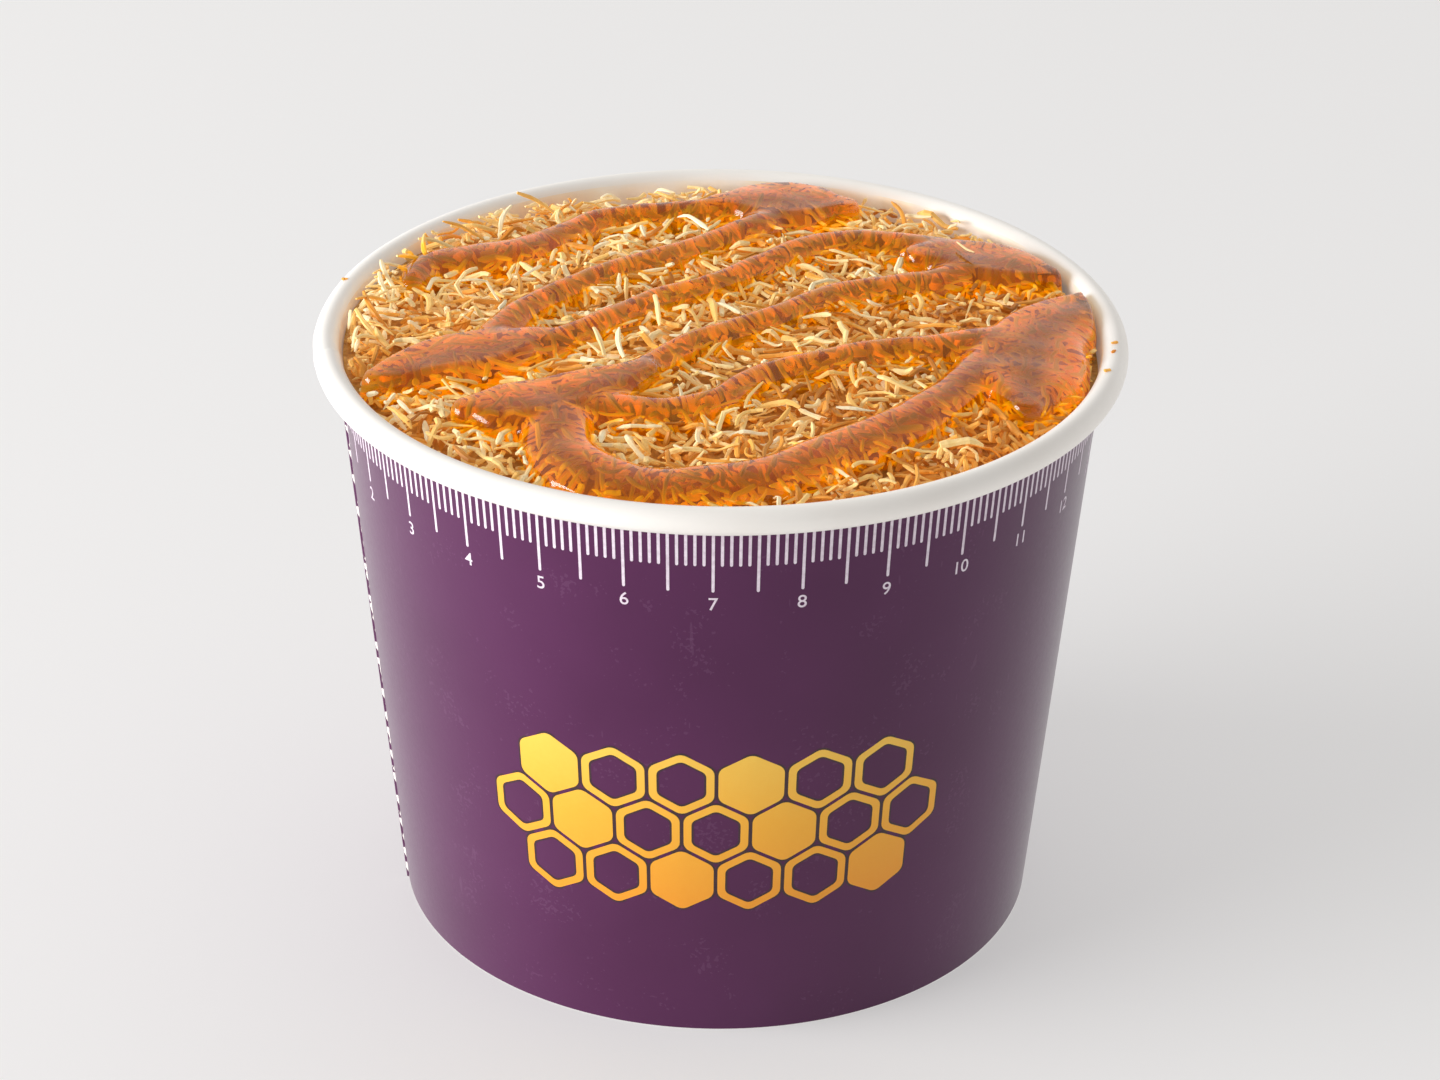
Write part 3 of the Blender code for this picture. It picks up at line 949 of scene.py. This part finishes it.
def clear_honey():
    """Clear amber gel with a little haze on its skin and a glow inside."""
    honey = Finish("clear_honey")
    skin = {"Roughness": 0.10, "IOR": 1.47}
    clear = {"Base Color": (1.0, 1.0, 1.0), "Transmission Weight": 1.0}
    swallowing = {"Color": (0.977, 0.953, 0.0), "Density": 2500.0}
    gel = honey.node("ShaderNodeBsdfPrincipled", {}, {**skin, **clear})
    haze = honey.node("ShaderNodeBsdfPrincipled", {}, {**skin, "Base Color": (0.60, 0.23, 0.010)})
    body = honey.node("ShaderNodeMixShader", {}, {0: HONEY_HAZE, 1: gel, 2: haze})
    passing = honey.node("ShaderNodeBsdfTransparent", {}, {"Color": (0.60, 0.46, 0.03)})
    shadow = honey.node("ShaderNodeLightPath", output=1)
    surface = honey.node("ShaderNodeMixShader", {}, {0: shadow, 1: body, 2: passing})
    swallowed = honey.node("ShaderNodeVolumeAbsorption", {}, swallowing)
    glow = honey.node("ShaderNodeEmission", {}, {"Color": (0.80, 0.31, 0.0), "Strength": HONEY_GLOW})
    inside = honey.node("ShaderNodeAddShader", {}, {0: swallowed, 1: glow})
    honey.node("ShaderNodeOutputMaterial", {}, {"Surface": surface, "Volume": inside})
    return honey.material


# %% Make the honey
HONEY_VOXEL = 0.36 * MM
HONEY_SMOOTHING = 18
HONEY_WAVES = ((6.0 * MM, 0.14 * MM), (3.0 * MM, 0.03 * MM))
PLATEAU = 2.6 * MM
PLATEAU_SWELL = 0.35
FOOT_RAGGED = 0.45 * MM
FOOT_GRAIN = 2.4 * MM
FOOT_TOP = 0.8 * MM


def make_honey(material):
    shapes = [honey_loft(places, RUN_HEIGHT, RUN_ROUNDNESS) for places in HONEY_RUNS]
    shapes += [honey_loft(places, POOL_HEIGHT, POOL_ROUNDNESS) for places in HONEY_POOLS]
    points, faces = joined(shapes)
    honey = new_piece("honey", points, faces, material)
    merge = honey.modifiers.new("merge", "REMESH")
    merge.mode = "VOXEL"
    merge.voxel_size = HONEY_VOXEL
    merge.use_smooth_shade = True
    soften = honey.modifiers.new("soften", "SMOOTH")
    soften.factor = 0.5
    soften.iterations = HONEY_SMOOTHING
    mesh = evaluated_copy(honey)
    points = rows_of(mesh.vertices, "co")
    above = points[:, 2] - honey_levels(points[:, 0], points[:, 1])
    points[:, 2] -= np.maximum(0, above - PLATEAU) * (1 - PLATEAU_SWELL)
    for size, depth in HONEY_WAVES:
        points[:, 2] += depth * noise_at(points, size)
    ragged = FOOT_RAGGED * (1 - smooth_blend(above, FOOT_TOP / 3, FOOT_TOP)) * noise_at(points, FOOT_GRAIN)
    points += ragged[:, None] * rows_of(mesh.vertex_normals, "vector")
    points[:, :2] = kept_inside(points[:, :2])
    mesh.vertices.foreach_set("co", points.astype(np.float32).ravel())
    mesh.update()
    mesh.shade_smooth()
    print(f"honey after merging: {len(mesh.polygons)} faces")
    return honey


honey = make_honey(clear_honey())

# %% [markdown]
# Bed of pastry
#
# Under the loose shreds the pastry is pressed together, toasted and in shadow. It shows only as dark
# gaps, so it is one closed body with relief as fine as the shreds, made from a round grid. Its dark
# brown is partly toast and partly painted shade for the depth of the gaps, and a faint painted glow
# lifts them a little.


# %% Finish of the bed
def pressed_pastry():
    """Toasted pastry pressed flat, with the marks of threads in it; its dark brown is partly painted shade.
    """
    bed = Finish("pressed_pastry")
    strand = bed.grain(1100, detail=4, roughness=0.6)
    patch = bed.grain(260, detail=2)
    # The dark end of this strip is partly painted shade for the depth of the gaps under the shreds.
    colour = bed.ramp(strand * 0.7 + patch * 0.3, (0.30, (0.36, 0.13, 0.02)), (0.48, (0.62, 0.29, 0.05)),
                      (0.68, (0.86, 0.50, 0.14)))
    return bed.surface({
        "Base Color": colour,
        "Roughness": 0.6,
        "Normal": bed.bump(strand, 0.3 * MM),
        # Painted glow: a faint light of the bed's own colour that lifts the dark gaps.
        "Emission Color": colour,
        "Emission Strength": 0.05,
    })


# %% Make the bed
BED_DEPTH = 1.5 * MM
BED_MIDDLE = 0.004
BED_RINGS = 90
BED_SIDES = 220
BED_GRAIN = 1.4 * MM
BED_RELIEF = 0.35 * MM
BED_SIDE_TOP = LEVEL_AT_WALL - 5 * MM
BED_SIDE_ROWS = 6


def bed_levels(x, y):
    """Height of the pressed bed, below the loose shreds, at arrays of places."""
    return pastry_levels(x, y) - BED_DEPTH


def make_bed(material):
    """A round grid with relief on top, and plain sides down to the base."""
    radii = REACH * np.linspace(BED_MIDDLE, 1, BED_RINGS)[:, None]
    heights = np.linspace(BED_SIDE_TOP, BASE_LEVEL + PAPER + GAP, BED_SIDE_ROWS)[:, None]
    side_radii = inner_radius(heights) - WALL_CLEAR
    directions = np.linspace(0, 2 * math.pi, BED_SIDES, endpoint=False)
    x = np.concatenate([radii, side_radii]) * np.cos(directions)
    y = np.concatenate([radii, side_radii]) * np.sin(directions)
    z = np.broadcast_to(np.concatenate([0 * radii, heights]), x.shape).copy()
    top_x, top_y = x[:BED_RINGS], y[:BED_RINGS]
    relief = BED_RELIEF * noise_at(np.stack([top_x, top_y, 0 * top_x], axis=-1), BED_GRAIN)
    z[:BED_RINGS] = bed_levels(top_x, top_y) + relief
    faces = [face[::-1] for face in tube_faces(len(x), BED_SIDES)]
    return new_piece("pastry_bed", np.stack([x, y, z], axis=-1).reshape(-1, 3), faces, material)


bed = make_bed(pressed_pastry())

# %% [markdown]
# Shreds
#
# The pastry was drawn into threads up to a millimetre thick, toasted in butter and broken up. Each shred
# here is a flattened tube along a bent line. They are laid one by one: a grid remembers how high the
# pile is, and each new shred rests on the highest places under it, like a stiff thread. So they cross
# and bridge as real ones do, with dark gaps between. Particles could scatter them faster, but they
# would pass through each other and leave no mesh.


# %% Beside and under the honey
def honey_share(x, y):
    """0 along the middle of the honey to 1 at its edge and beyond, at arrays of places."""
    nearest = np.ones(x.shape)
    for places in HONEY_RUNS + HONEY_POOLS:
        for px, py, half in smooth_run(places):
            nearest = np.minimum(nearest, np.hypot(x - px, y - py) / half)
    return nearest


# %% Height of the pile
PILE_CELL = 0.32 * MM
NEIGHBOURS = ((0, 0), (1, 0), (-1, 0), (0, 1), (0, -1))
SHRED_CEILING = 1.7 * MM
HONEY_EDGE = 0.93
HONEY_FILL = 0.35
# Shreds under the honey reach this share of its height less a margin, and less along its middle
DROWNED_SHARE = 0.68
DROWNED_MARGIN = 0.15 * MM
DROWNED_DEEPER = 0.25


class Pile:
    """How high the filling is, on a square grid, and how high it may become."""

    def __init__(self):
        self.count = int(2 * REACH / PILE_CELL) + 3
        line = (np.arange(self.count) - self.count / 2) * PILE_CELL
        x, y = np.meshgrid(line, line, indexing="ij")
        self.share = share = honey_share(x, y)
        cover = RUN_HEIGHT * np.sqrt(1 - share**RUN_ROUNDNESS)
        self.target = pastry_levels(x, y) + cover * HONEY_FILL
        self.height = bed_levels(x, y)
        self.bare = (np.hypot(x, y) < REACH - MM) & (share == 1)
        fullness = RUN_HEIGHT * np.sqrt(1 - share**(2 * RUN_ROUNDNESS))
        reached = DROWNED_SHARE - DROWNED_DEEPER * (1 - share) ** 2
        drowned = mound_levels(x, y) + fullness * reached - DROWNED_MARGIN
        self.ceiling = np.where(share < HONEY_EDGE, drowned, self.target + SHRED_CEILING)

    def cells(self, points):
        index = np.clip((points[:, :2] / PILE_CELL + self.count / 2).round().astype(int), 1, self.count - 2)
        return index[:, 0], index[:, 1]

    def cover(self, points):
        """How far in from the honey's edge each point lies: 0 outside it, 1 along its middle."""
        i, j = self.cells(points)
        return 1 - self.share[i, j]

    def under(self, points):
        """The highest place just under each point."""
        i, j = self.cells(points)
        return np.maximum.reduce([self.height[i + di, j + dj] for di, dj in NEIGHBOURS])

    def depth(self, points):
        """How far the pile is below its final level, on average."""
        i, j = self.cells(points)
        return float(np.mean(self.target[i, j] - self.height[i, j]))

    def over(self):
        """How far the pile stands over the level of the mound, on average."""
        return float((self.height - self.target)[self.bare].mean())

    def fits(self, points):
        """Whether a shred stays under the ceiling all along."""
        i, j = self.cells(points)
        return bool((points[:, 2] < self.ceiling[i, j]).all())

    def add(self, points, tops):
        """Raises the pile to the top of a shred that now lies there."""
        places = np.arange(len(points))
        fine = np.linspace(0, len(points) - 1, 3 * len(points))
        dense = np.stack([np.interp(fine, places, points[:, axis]) for axis in range(3)], axis=1)
        top = np.interp(fine, places, tops)
        i, j = self.cells(dense)
        for di, dj in NEIGHBOURS:
            np.maximum.at(self.height, (i + di, j + dj), top)


# %% Lay one shred
SHRED_POINTS = 7
USUAL_BEND = 0.4
CURLED_BEND = 1.5
CURLED_SHARE = 0.15
KINK = 0.7
KINKED_SHARE = 0.3
REST_SHARE = 0.42
TOP_SHARE = 0.4


def shred_line(x, y, length, heading, draw):
    """A gently bent line in plan through a place; some are curled more, or have a kink."""
    bend = draw.gauss(0, CURLED_BEND if draw.random() < CURLED_SHARE else USUAL_BEND)
    kink = draw.gauss(0, KINK) if draw.random() < KINKED_SHARE else 0
    share = np.linspace(0, 1, SHRED_POINTS)
    turn = heading + bend * (share - 0.5) + kink * (share > draw.uniform(0.3, 0.7))
    step = length / (SHRED_POINTS - 1)
    px = np.concatenate([[0], np.cumsum(np.cos(turn[:-1]))]) * step
    py = np.concatenate([[0], np.cumsum(np.sin(turn[:-1]))]) * step
    return np.stack([x + px - px.mean(), y + py - py.mean()], axis=1)


def bridged(heights):
    """The line of a stiff thread that rests on these heights: their upper hull."""
    hull = []
    for place, height in enumerate(heights):
        while len(hull) > 1:
            (x0, z0), (x1, z1) = hull[-2:]
            if (z1 - z0) * (place - x0) > (height - z0) * (x1 - x0):
                break
            hull.pop()
        hull.append((place, height))
    return np.interp(np.arange(len(heights)), [p for p, _ in hull], [h for _, h in hull])


def resting(line, pile, thickness, stiffness, lift):
    """The line in space of a shred dropped on the pile; lift raises its far end."""
    under = pile.under(line) + thickness * REST_SHARE
    height = under + stiffness * (bridged(under) - under)
    padded = np.concatenate([height[:1], height, height[-1:]])
    height = height * 0.5 + (padded[:-2] + padded[2:]) * 0.25
    share = np.linspace(0, 1, len(line))
    return np.column_stack([line, height + lift * share**2])


# %% Shape of one shred
SHRED_SIDES = 6
TWIST = 0.6
TWIST_ALONG = 0.9
END_WIDTH = 0.75
BELLY = 0.27
BELLY_SPAN = (0.08, 0.92)
WAVINESS = 0.13
WAVE_LENGTHS = (4, 12)
WAVE_STARTS = (0, 6)
TORN_END = (0.4, 1.0)


def shred_shape(line, width, thickness, draw):
    """Points and faces of a flattened tube with blunt, slightly torn ends."""
    count = len(line)
    share = np.linspace(-0.5, 0.5, count)
    way = np.gradient(line, axis=0)
    way /= np.linalg.norm(way, axis=1)[:, None]
    side = np.cross(way, (0, 0, 1.0))
    side /= np.maximum(np.linalg.norm(side, axis=1)[:, None], 1e-6)
    up = np.cross(side, way)
    twist = draw.uniform(-TWIST, TWIST) + draw.uniform(-TWIST_ALONG, TWIST_ALONG) * share
    across = side * np.cos(twist)[:, None] + up * np.sin(twist)[:, None]
    above = up * np.cos(twist)[:, None] - side * np.sin(twist)[:, None]
    swell = END_WIDTH + BELLY * np.sqrt(np.sin(math.pi * np.linspace(*BELLY_SPAN, count)))
    waves = np.linspace(0, draw.uniform(*WAVE_LENGTHS), count) + draw.uniform(*WAVE_STARTS)
    swell += WAVINESS * np.sin(waves)
    swell[0] *= draw.uniform(*TORN_END)
    swell[-1] *= draw.uniform(*TORN_END)
    angles = np.linspace(0, 2 * math.pi, SHRED_SIDES, endpoint=False)
    rings = (across[:, None, :] * (np.cos(angles) * width / 2)[None, :, None]
             + above[:, None, :] * (np.sin(angles) * thickness / 2)[None, :, None]) * swell[:, None, None]
    return (line[:, None, :] + rings).reshape(-1, 3), tube_faces(count, SHRED_SIDES)


# %% Kinds of shred
class ShredKind:
    """Shreds of one toasting, collected into one piece."""

    def __init__(self, name, share, browning):
        self.name = name
        self.share = share
        self.browning = browning
        self.shapes = []
        self.tones = []
        self.soaks = []

    def likely(self, toast):
        """How often this kind is drawn where the pastry is browner or paler than usual."""
        return self.share * math.exp(self.browning * toast)

    def add(self, line, width, thickness, draw, soaks=1.0):
        shape = shred_shape(line, width, thickness, draw)
        tone = draw.random()
        self.shapes.append(shape)
        self.tones.append(np.full(len(shape[0]), tone))
        self.soaks.append(np.full(len(shape[0]), soaks))

    def piece(self, material):
        points, faces = joined(self.shapes)
        made = new_piece(self.name, points, faces, material, smooth=False)
        add_number(made, "tone", np.concatenate(self.tones))
        add_number(made, "cover", pile.cover(points) * np.concatenate(self.soaks))
        made.data.calc_loop_triangles()
        print(f"{self.name}: {len(self.shapes)} shreds, {len(made.data.loop_triangles)} triangles")


# %% Place of one shred
PLACE_MARGIN = 0.6 * MM
LINE_MARGIN = 0.4 * MM
CHOICES = 3


def random_place(draw):
    """A place in the cup, equally likely anywhere in its circle."""
    radius = (REACH - PLACE_MARGIN) * math.sqrt(draw.random())
    angle = draw.uniform(0, 2 * math.pi)
    return radius * math.cos(angle), radius * math.sin(angle)


def inside_wall(line):
    return float(np.hypot(line[:, 0], line[:, 1]).max()) < REACH - LINE_MARGIN


def lowest_line(pile, length, draw):
    """Of a few random lines that fit in the cup, the one where the pile is lowest."""
    best, best_depth = None, -1e9
    for _ in range(CHOICES):
        line = shred_line(*random_place(draw), length, draw.uniform(0, 2 * math.pi), draw)
        if inside_wall(line) and pile.depth(line) > best_depth:
            best, best_depth = line, pile.depth(line)
    return best


# %% Browning across the tray
TOAST_PATCH = 11 * MM
TOASTED_IN_PATCHES = 0.8
# How much browner the pastry is towards the front right, and how much paler towards the back
BROWNER_AT_RIGHT = 1.8
FRONT_SHARE = 0.4
PALER_AT_BACK = 0.5


def toast_at(line):
    """How much browner than usual the pastry is: more at the front right, less at the back, in patches."""
    x, y = line.mean(axis=0)
    right = max(0, (x - FRONT_SHARE * y) / REACH)
    back = max(0, y / REACH)
    patch = noise.noise(Vector((x, y, 0)) / TOAST_PATCH)
    return BROWNER_AT_RIGHT * right - PALER_AT_BACK * back + TOASTED_IN_PATCHES * patch


# %% Lay the pile
MOST_TRIES = 13000
PILE_OVER = 0.6 * MM
SHRED_SEED = 23
SHRED_WIDTHS = (0.36 * MM, 0.90 * MM)
USUAL_WIDTH = 0.56 * MM
SHRED_LENGTHS = (1.8 * MM, 6.6 * MM)
USUAL_LENGTH = 2.9 * MM
CRUMB_SHARE = 0.38
CRUMB_LENGTHS = (0.9 * MM, 2.0 * MM)
LONGEST_LIFT = 1.9 * MM
LIFT_EVERY = 50
FLATNESS = (0.4, 0.8)
STIFFNESS = (0.6, 1.0)


def lay_shreds(pile, kinds):
    """Lays shreds until the pile stands over its level; only those near its top stick up."""
    draw = random.Random(SHRED_SEED)
    laid = 0
    for number in range(MOST_TRIES):
        if number % LIFT_EVERY == 0:
            late = min(1, max(0, 1 + pile.over() / BED_DEPTH))
        if pile.over() > PILE_OVER:
            break
        crumb = draw.random() < CRUMB_SHARE
        length = draw.uniform(*CRUMB_LENGTHS) if crumb else draw.triangular(*SHRED_LENGTHS, USUAL_LENGTH)
        width = draw.triangular(*SHRED_WIDTHS, USUAL_WIDTH)
        thickness = width * draw.uniform(*FLATNESS)
        line = lowest_line(pile, length, draw)
        if line is None:
            continue
        kind = draw.choices(kinds, [kind.likely(toast_at(line)) for kind in kinds])[0]
        lift = draw.random() ** 3 * LONGEST_LIFT * late
        points = resting(line, pile, thickness, draw.uniform(*STIFFNESS), lift)
        if not pile.fits(points):
            continue
        pile.add(points, points[:, 2] + thickness * TOP_SHARE)
        kind.add(points, width, thickness, draw)
        laid += 1
    print(f"{laid} shreds of {number} tries; the pile stands {pile.over() / MM:.2f} mm over the level")


golden = ShredKind("golden_shreds", 0.37, 0.0)
pale = ShredKind("pale_shreds", 0.38, -0.9)
amber = ShredKind("amber_shreds", 0.15, 0.6)
toasted = ShredKind("toasted_shreds", 0.10, 1.2)
pile = Pile()
lay_shreds(pile, (golden, pale, amber, toasted))

# %% [markdown]
# A few shreds are easy to recognise: tips that rise over the rim at the back and left, pale ones that
# stand out on top, one that lies on the honey, and crumbs that fell on the rim. Their places are listed.

# %% Shreds set one by one
# (x, y, heading in degrees, length, width) in millimetres, and how high each end lies over the pile
PALE_ONES = (
    (-7.6, 0.5, 97, 5.2, 0.62, 0.0, 3.0),
    (-30.8, 8.2, 104, 5.6, 0.60, 0.2, 3.2),
    (-28.6, 6.4, 116, 6.6, 0.58, 0.2, 3.0),
    (29.2, -34.2, 24, 4.2, 1.5, 0.5, 0.9),
    (27.0, -31.2, 16, 5.0, 1.2, 0.6, 0.9),
    (-3.6, 28.8, 130, 6.0, 0.6, 0.8, 1.2),
    (-11.8, -8.0, 96, 4.2, 0.65, 0.0, 2.0),
    (-14.2, -7.4, 110, 4.0, 0.65, 0.0, 1.8),
    (29.7, 18.6, -66, 3.8, 0.5, 2.2, 2.3),
)
# (direction in degrees from +x, radius, tip height, lean along the wall) in millimetres
WALL_TIPS = (
    (124, 42.8, 75.8, 2.2), (132, 42.2, 74.6, -2.4), (173, 43.4, 75.6, 2.6), (151, 43.0, 75.2, -2.0),
    (160, 43.2, 75.6, 2.0), (141, 42.8, 75.7, 2.0), (182, 43.2, 75.2, -2.2), (168, 42.8, 75.2, -2.4),
    (137, 43.4, 74.6, 1.6), (155, 42.6, 75.2, 2.2), (147, 43.2, 74.9, 2.0), (176, 43.0, 75.4, -2.2),
    (186, 43.2, 74.8, 2.0), (164, 43.4, 75.8, -1.6), (57, 42.6, 73.9, 2.2),
)
HIGHEST_TIP = 76.6 * MM
WALL_TIP_WIDTH = 0.6 * MM
WALL_TIP_REACH = 3.5 * MM
WALL_TIP_BOW = (0.6 * MM, 0.5 * MM)
# (x, y, z) in millimetres
CRUMBS = (
    (43.0, -7.9, 73.9), (46.3, -3.9, 73.9), (46.0, -6.2, 73.8), (44.9, -11.4, 73.9), (-45.6, 12.0, 73.8),
)
CRUMB_SIZE = 0.5 * MM
HAND_SEED = 5


def set_by_hand(kind, draw):
    """Pale shreds that stand out on top of the pile."""
    for x, y, heading, length, width, start, end in PALE_ONES:
        plan = shred_line(x * MM, y * MM, length * MM, math.radians(heading), draw)
        line = resting(plan, pile, width * MM / 2, 0.9, 0)
        line[:, 2] += np.linspace(start, end, len(line)) * MM
        line[:, 2] = np.minimum(line[:, 2], HIGHEST_TIP - width * MM / 2)
        kind.add(line, width * MM, width * MM * 0.5, draw, soaks=0.0)


def stand_at_wall(kinds, draw):
    """Shreds that lean against the wall with their tips near or over the rim."""
    bow_out, bow_up = WALL_TIP_BOW
    for number, (direction, radius, tip, lean) in enumerate(WALL_TIPS):
        out = Vector((math.cos(math.radians(direction)), math.sin(math.radians(direction)), 0))
        along = Vector((-out.y, out.x, 0)) * lean * MM
        root = out * (radius * MM - WALL_TIP_REACH) - along
        root.z = float(pastry_levels(root.x, root.y))
        end = out * radius * MM + along
        end.z = tip * MM
        middle = (root + end) / 2 + out * bow_out + Vector((0, 0, bow_up))
        knots = [2 * root - middle, root, middle, end, 2 * end - middle]
        ways = [knots[i:i + 4] for i in range(2)]
        line = [spline_point(*way, t) for way in ways for t in (0, 0.33, 0.67)] + [end]
        kinds[number % len(kinds)].add(np.array(line), WALL_TIP_WIDTH, WALL_TIP_WIDTH * 0.7, draw)


def drop_crumbs(kind, draw):
    """Short bits of pastry on the rim."""
    for x, y, z in CRUMBS:
        plan = shred_line(x * MM, y * MM, CRUMB_SIZE * 1.6, draw.uniform(0, math.pi), draw)
        line = np.column_stack([plan, np.full(len(plan), z * MM + CRUMB_SIZE * 0.2)])
        kind.add(line, CRUMB_SIZE, CRUMB_SIZE * 0.6, draw)


by_hand = random.Random(HAND_SEED)
set_by_hand(pale, by_hand)
stand_at_wall((golden, pale, amber), by_hand)
drop_crumbs(amber, by_hand)

# %% [markdown]
# Look of the shreds
#
# No two threads on a tray are toasted alike, and honey turns those under it to deep amber. A picture
# could show that, but it would have to be laid round thousands of threads. Instead each point of a shred
# carries two numbers, its tone and how far in under the honey it lies, and the finish reads them.
# Light scatters inside such thin threads, so a faint glow of the same colour stands for that. Under the
# honey the glow is stronger at the honey's edge, where light comes in, than along its deep middle.

# %% Finish of the shreds
LIGHT_IN_THREAD = (0.16, 0.125, 0.08)
LIGHT_AT_EDGE = (0.62, 0.475, 0.0)
LIGHT_IN_CORE = (0.17, 0.14, 0.0)
SOAKED = (0.93, 0.44, 0.02)
DEEP_SOAKED = (0.68, 0.34, 0.012)


def toasted_thread(name, dark, middle, light):
    """Buttery toasted pastry: a tone for each shred, mottled along it, and amber where honey covers it."""
    thread = Finish(name)
    tone = thread.attribute("tone")
    mottle = thread.grain(650, detail=4, roughness=0.65)
    fine = thread.grain(3200, detail=3)
    share = tone * 0.62 + mottle * 0.5 + fine * 0.14 - 0.13
    colour = thread.ramp(share, (0.12, dark), (0.5, middle), (0.86, light))
    cover = thread.attribute("cover")
    wet = cover.maths("MINIMUM", cover * 8, 0.9)
    soaked = thread.ramp(cover, (0.0, SOAKED), (0.3, SOAKED), (0.85, DEEP_SOAKED))
    colour = thread.mix(wet, colour, soaked)
    light = thread.ramp(cover, (0.0, LIGHT_IN_THREAD), (0.08, LIGHT_AT_EDGE), (0.30, LIGHT_AT_EDGE),
                        (0.88, LIGHT_IN_CORE))
    inner = thread.mix(wet, colour, SOAKED)
    glow = thread.node("ShaderNodeVectorMath", {"operation": "MULTIPLY"}, {0: inner, 1: light})
    return thread.surface({
        "Base Color": colour,
        "Roughness": fine * 0.25 + 0.36,
        "Normal": thread.bump(fine, 0.03 * MM),
        "Specular IOR Level": 0.35,
        "Emission Color": glow,
        "Emission Strength": 1.0,
    })


golden.piece(toasted_thread("golden_thread", (0.88, 0.48, 0.11), (0.96, 0.66, 0.24), (0.99, 0.80, 0.42)))
pale.piece(toasted_thread("pale_thread", (0.96, 0.68, 0.27), (0.99, 0.80, 0.46), (0.99, 0.89, 0.65)))
amber.piece(toasted_thread("amber_thread", (0.72, 0.25, 0.025), (0.89, 0.40, 0.060), (0.95, 0.54, 0.12)))
toasted.piece(toasted_thread("toasted_thread", (0.42, 0.13, 0.012), (0.64, 0.26, 0.034), (0.82, 0.41, 0.08)))
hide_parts("kunafa")
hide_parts("kunafa")

# %% [markdown]
# Stage
#
# The cup stands on a plain pale floor, lit by soft light from all round and by a low wide window at the
# left. The camera looks down at the rim, from where the size of the ruler and the oval of the rim both
# agree with the photograph.


# %% Floor
def pale_floor():
    """Pale plastic sheet, lit a little from below as well, so that shadows on it stay light."""
    floor = Finish("pale_floor")
    colour = floor.ramp(floor.grain(1.5, detail=1), (0.3, (0.50, 0.492, 0.488)), (0.7, (0.52, 0.512, 0.508)))
    glow = {"Emission Color": (1.0, 0.99, 0.985), "Emission Strength": 0.38}
    return floor.surface({"Base Color": colour, "Roughness": 0.8, **glow})


FLOOR_SIZE = 6.0
FLOOR_DROP = 0.02 * MM
bpy.ops.mesh.primitive_plane_add(size=FLOOR_SIZE, location=(0, 0, -FLOOR_DROP))
floor = bpy.context.object
floor.name = "floor"
floor.data.materials.append(pale_floor())

# %% Light
ROOM_STRENGTH = 0.76
# How the strength changes towards the right, the back and the top of the room
ROOM_CHANGE = (0.08, 0.40, -0.34)

cycles = bpy.context.scene.cycles
cycles.caustics_refractive = False
cycles.caustics_reflective = False
cycles.diffuse_bounces = 3
cycles.transmission_bounces = 6
bpy.context.scene.view_settings.view_transform = "Standard"
world = bpy.context.scene.world or bpy.data.worlds.new("room")
bpy.context.scene.world = world


def room_light():
    """Soft light from all round, stronger from the back of the room and weaker from above."""
    room = Finish("room", world)
    direction = room.node("ShaderNodeTexCoord")
    strength = ROOM_STRENGTH
    for axis, change in enumerate(ROOM_CHANGE):
        strength = room.part(direction, axis) * change + strength
    light = room.node("ShaderNodeBackground", {}, {"Color": (1.0, 0.995, 0.985), "Strength": strength})
    room.node("ShaderNodeOutputWorld", {}, {"Surface": light})


room_light()


def window(name, place, aim, width, height, power):
    """A wide soft lamp that faces the place aimed at."""
    lamp = bpy.data.lights.new(name, "AREA")
    lamp.shape = "ELLIPSE"
    lamp.size = width
    lamp.size_y = height
    lamp.energy = power
    holder = bpy.data.objects.new(name, lamp)
    holder.location = place
    holder.rotation_mode = "QUATERNION"
    holder.rotation_quaternion = (Vector(place) - Vector(aim)).to_track_quat("Z", "Y")
    bpy.context.scene.collection.objects.link(holder)


window("side_window", place=(-1.2, -0.34, 0.36), aim=(0, 0, 0.05), width=1.2, height=0.6, power=23.0)

# %% Camera
CAMERA_DISTANCE = 507.8 * MM
CAMERA_ELEVATION = 0.48304
CAMERA_TARGET = 50.0 * MM
CAMERA_TILT = 0.008656
CAMERA_ROLL = 0.01024
CAMERA_YAW = -0.00028
CAMERA_LENS = 104.78

lens = bpy.data.cameras.new("camera")
lens.lens = CAMERA_LENS
lens.sensor_width = 36.0
camera = bpy.data.objects.new("camera", lens)
bpy.context.scene.collection.objects.link(camera)
bpy.context.scene.camera = camera
stand = Vector((0, -math.cos(CAMERA_ELEVATION), math.sin(CAMERA_ELEVATION))) * CAMERA_DISTANCE
look_down = math.pi / 2 - CAMERA_ELEVATION - CAMERA_TILT
camera.matrix_world = (
    Matrix.Translation(stand + Vector((0, 0, CAMERA_TARGET)))
    @ Matrix.Rotation(CAMERA_YAW, 4, "Z")
    @ Matrix.Rotation(look_down, 4, "X")
    @ Matrix.Rotation(CAMERA_ROLL, 4, "Z")
)
print(f"camera {CAMERA_DISTANCE / MM:.0f} mm away, {math.degrees(CAMERA_ELEVATION):.1f} degrees up")
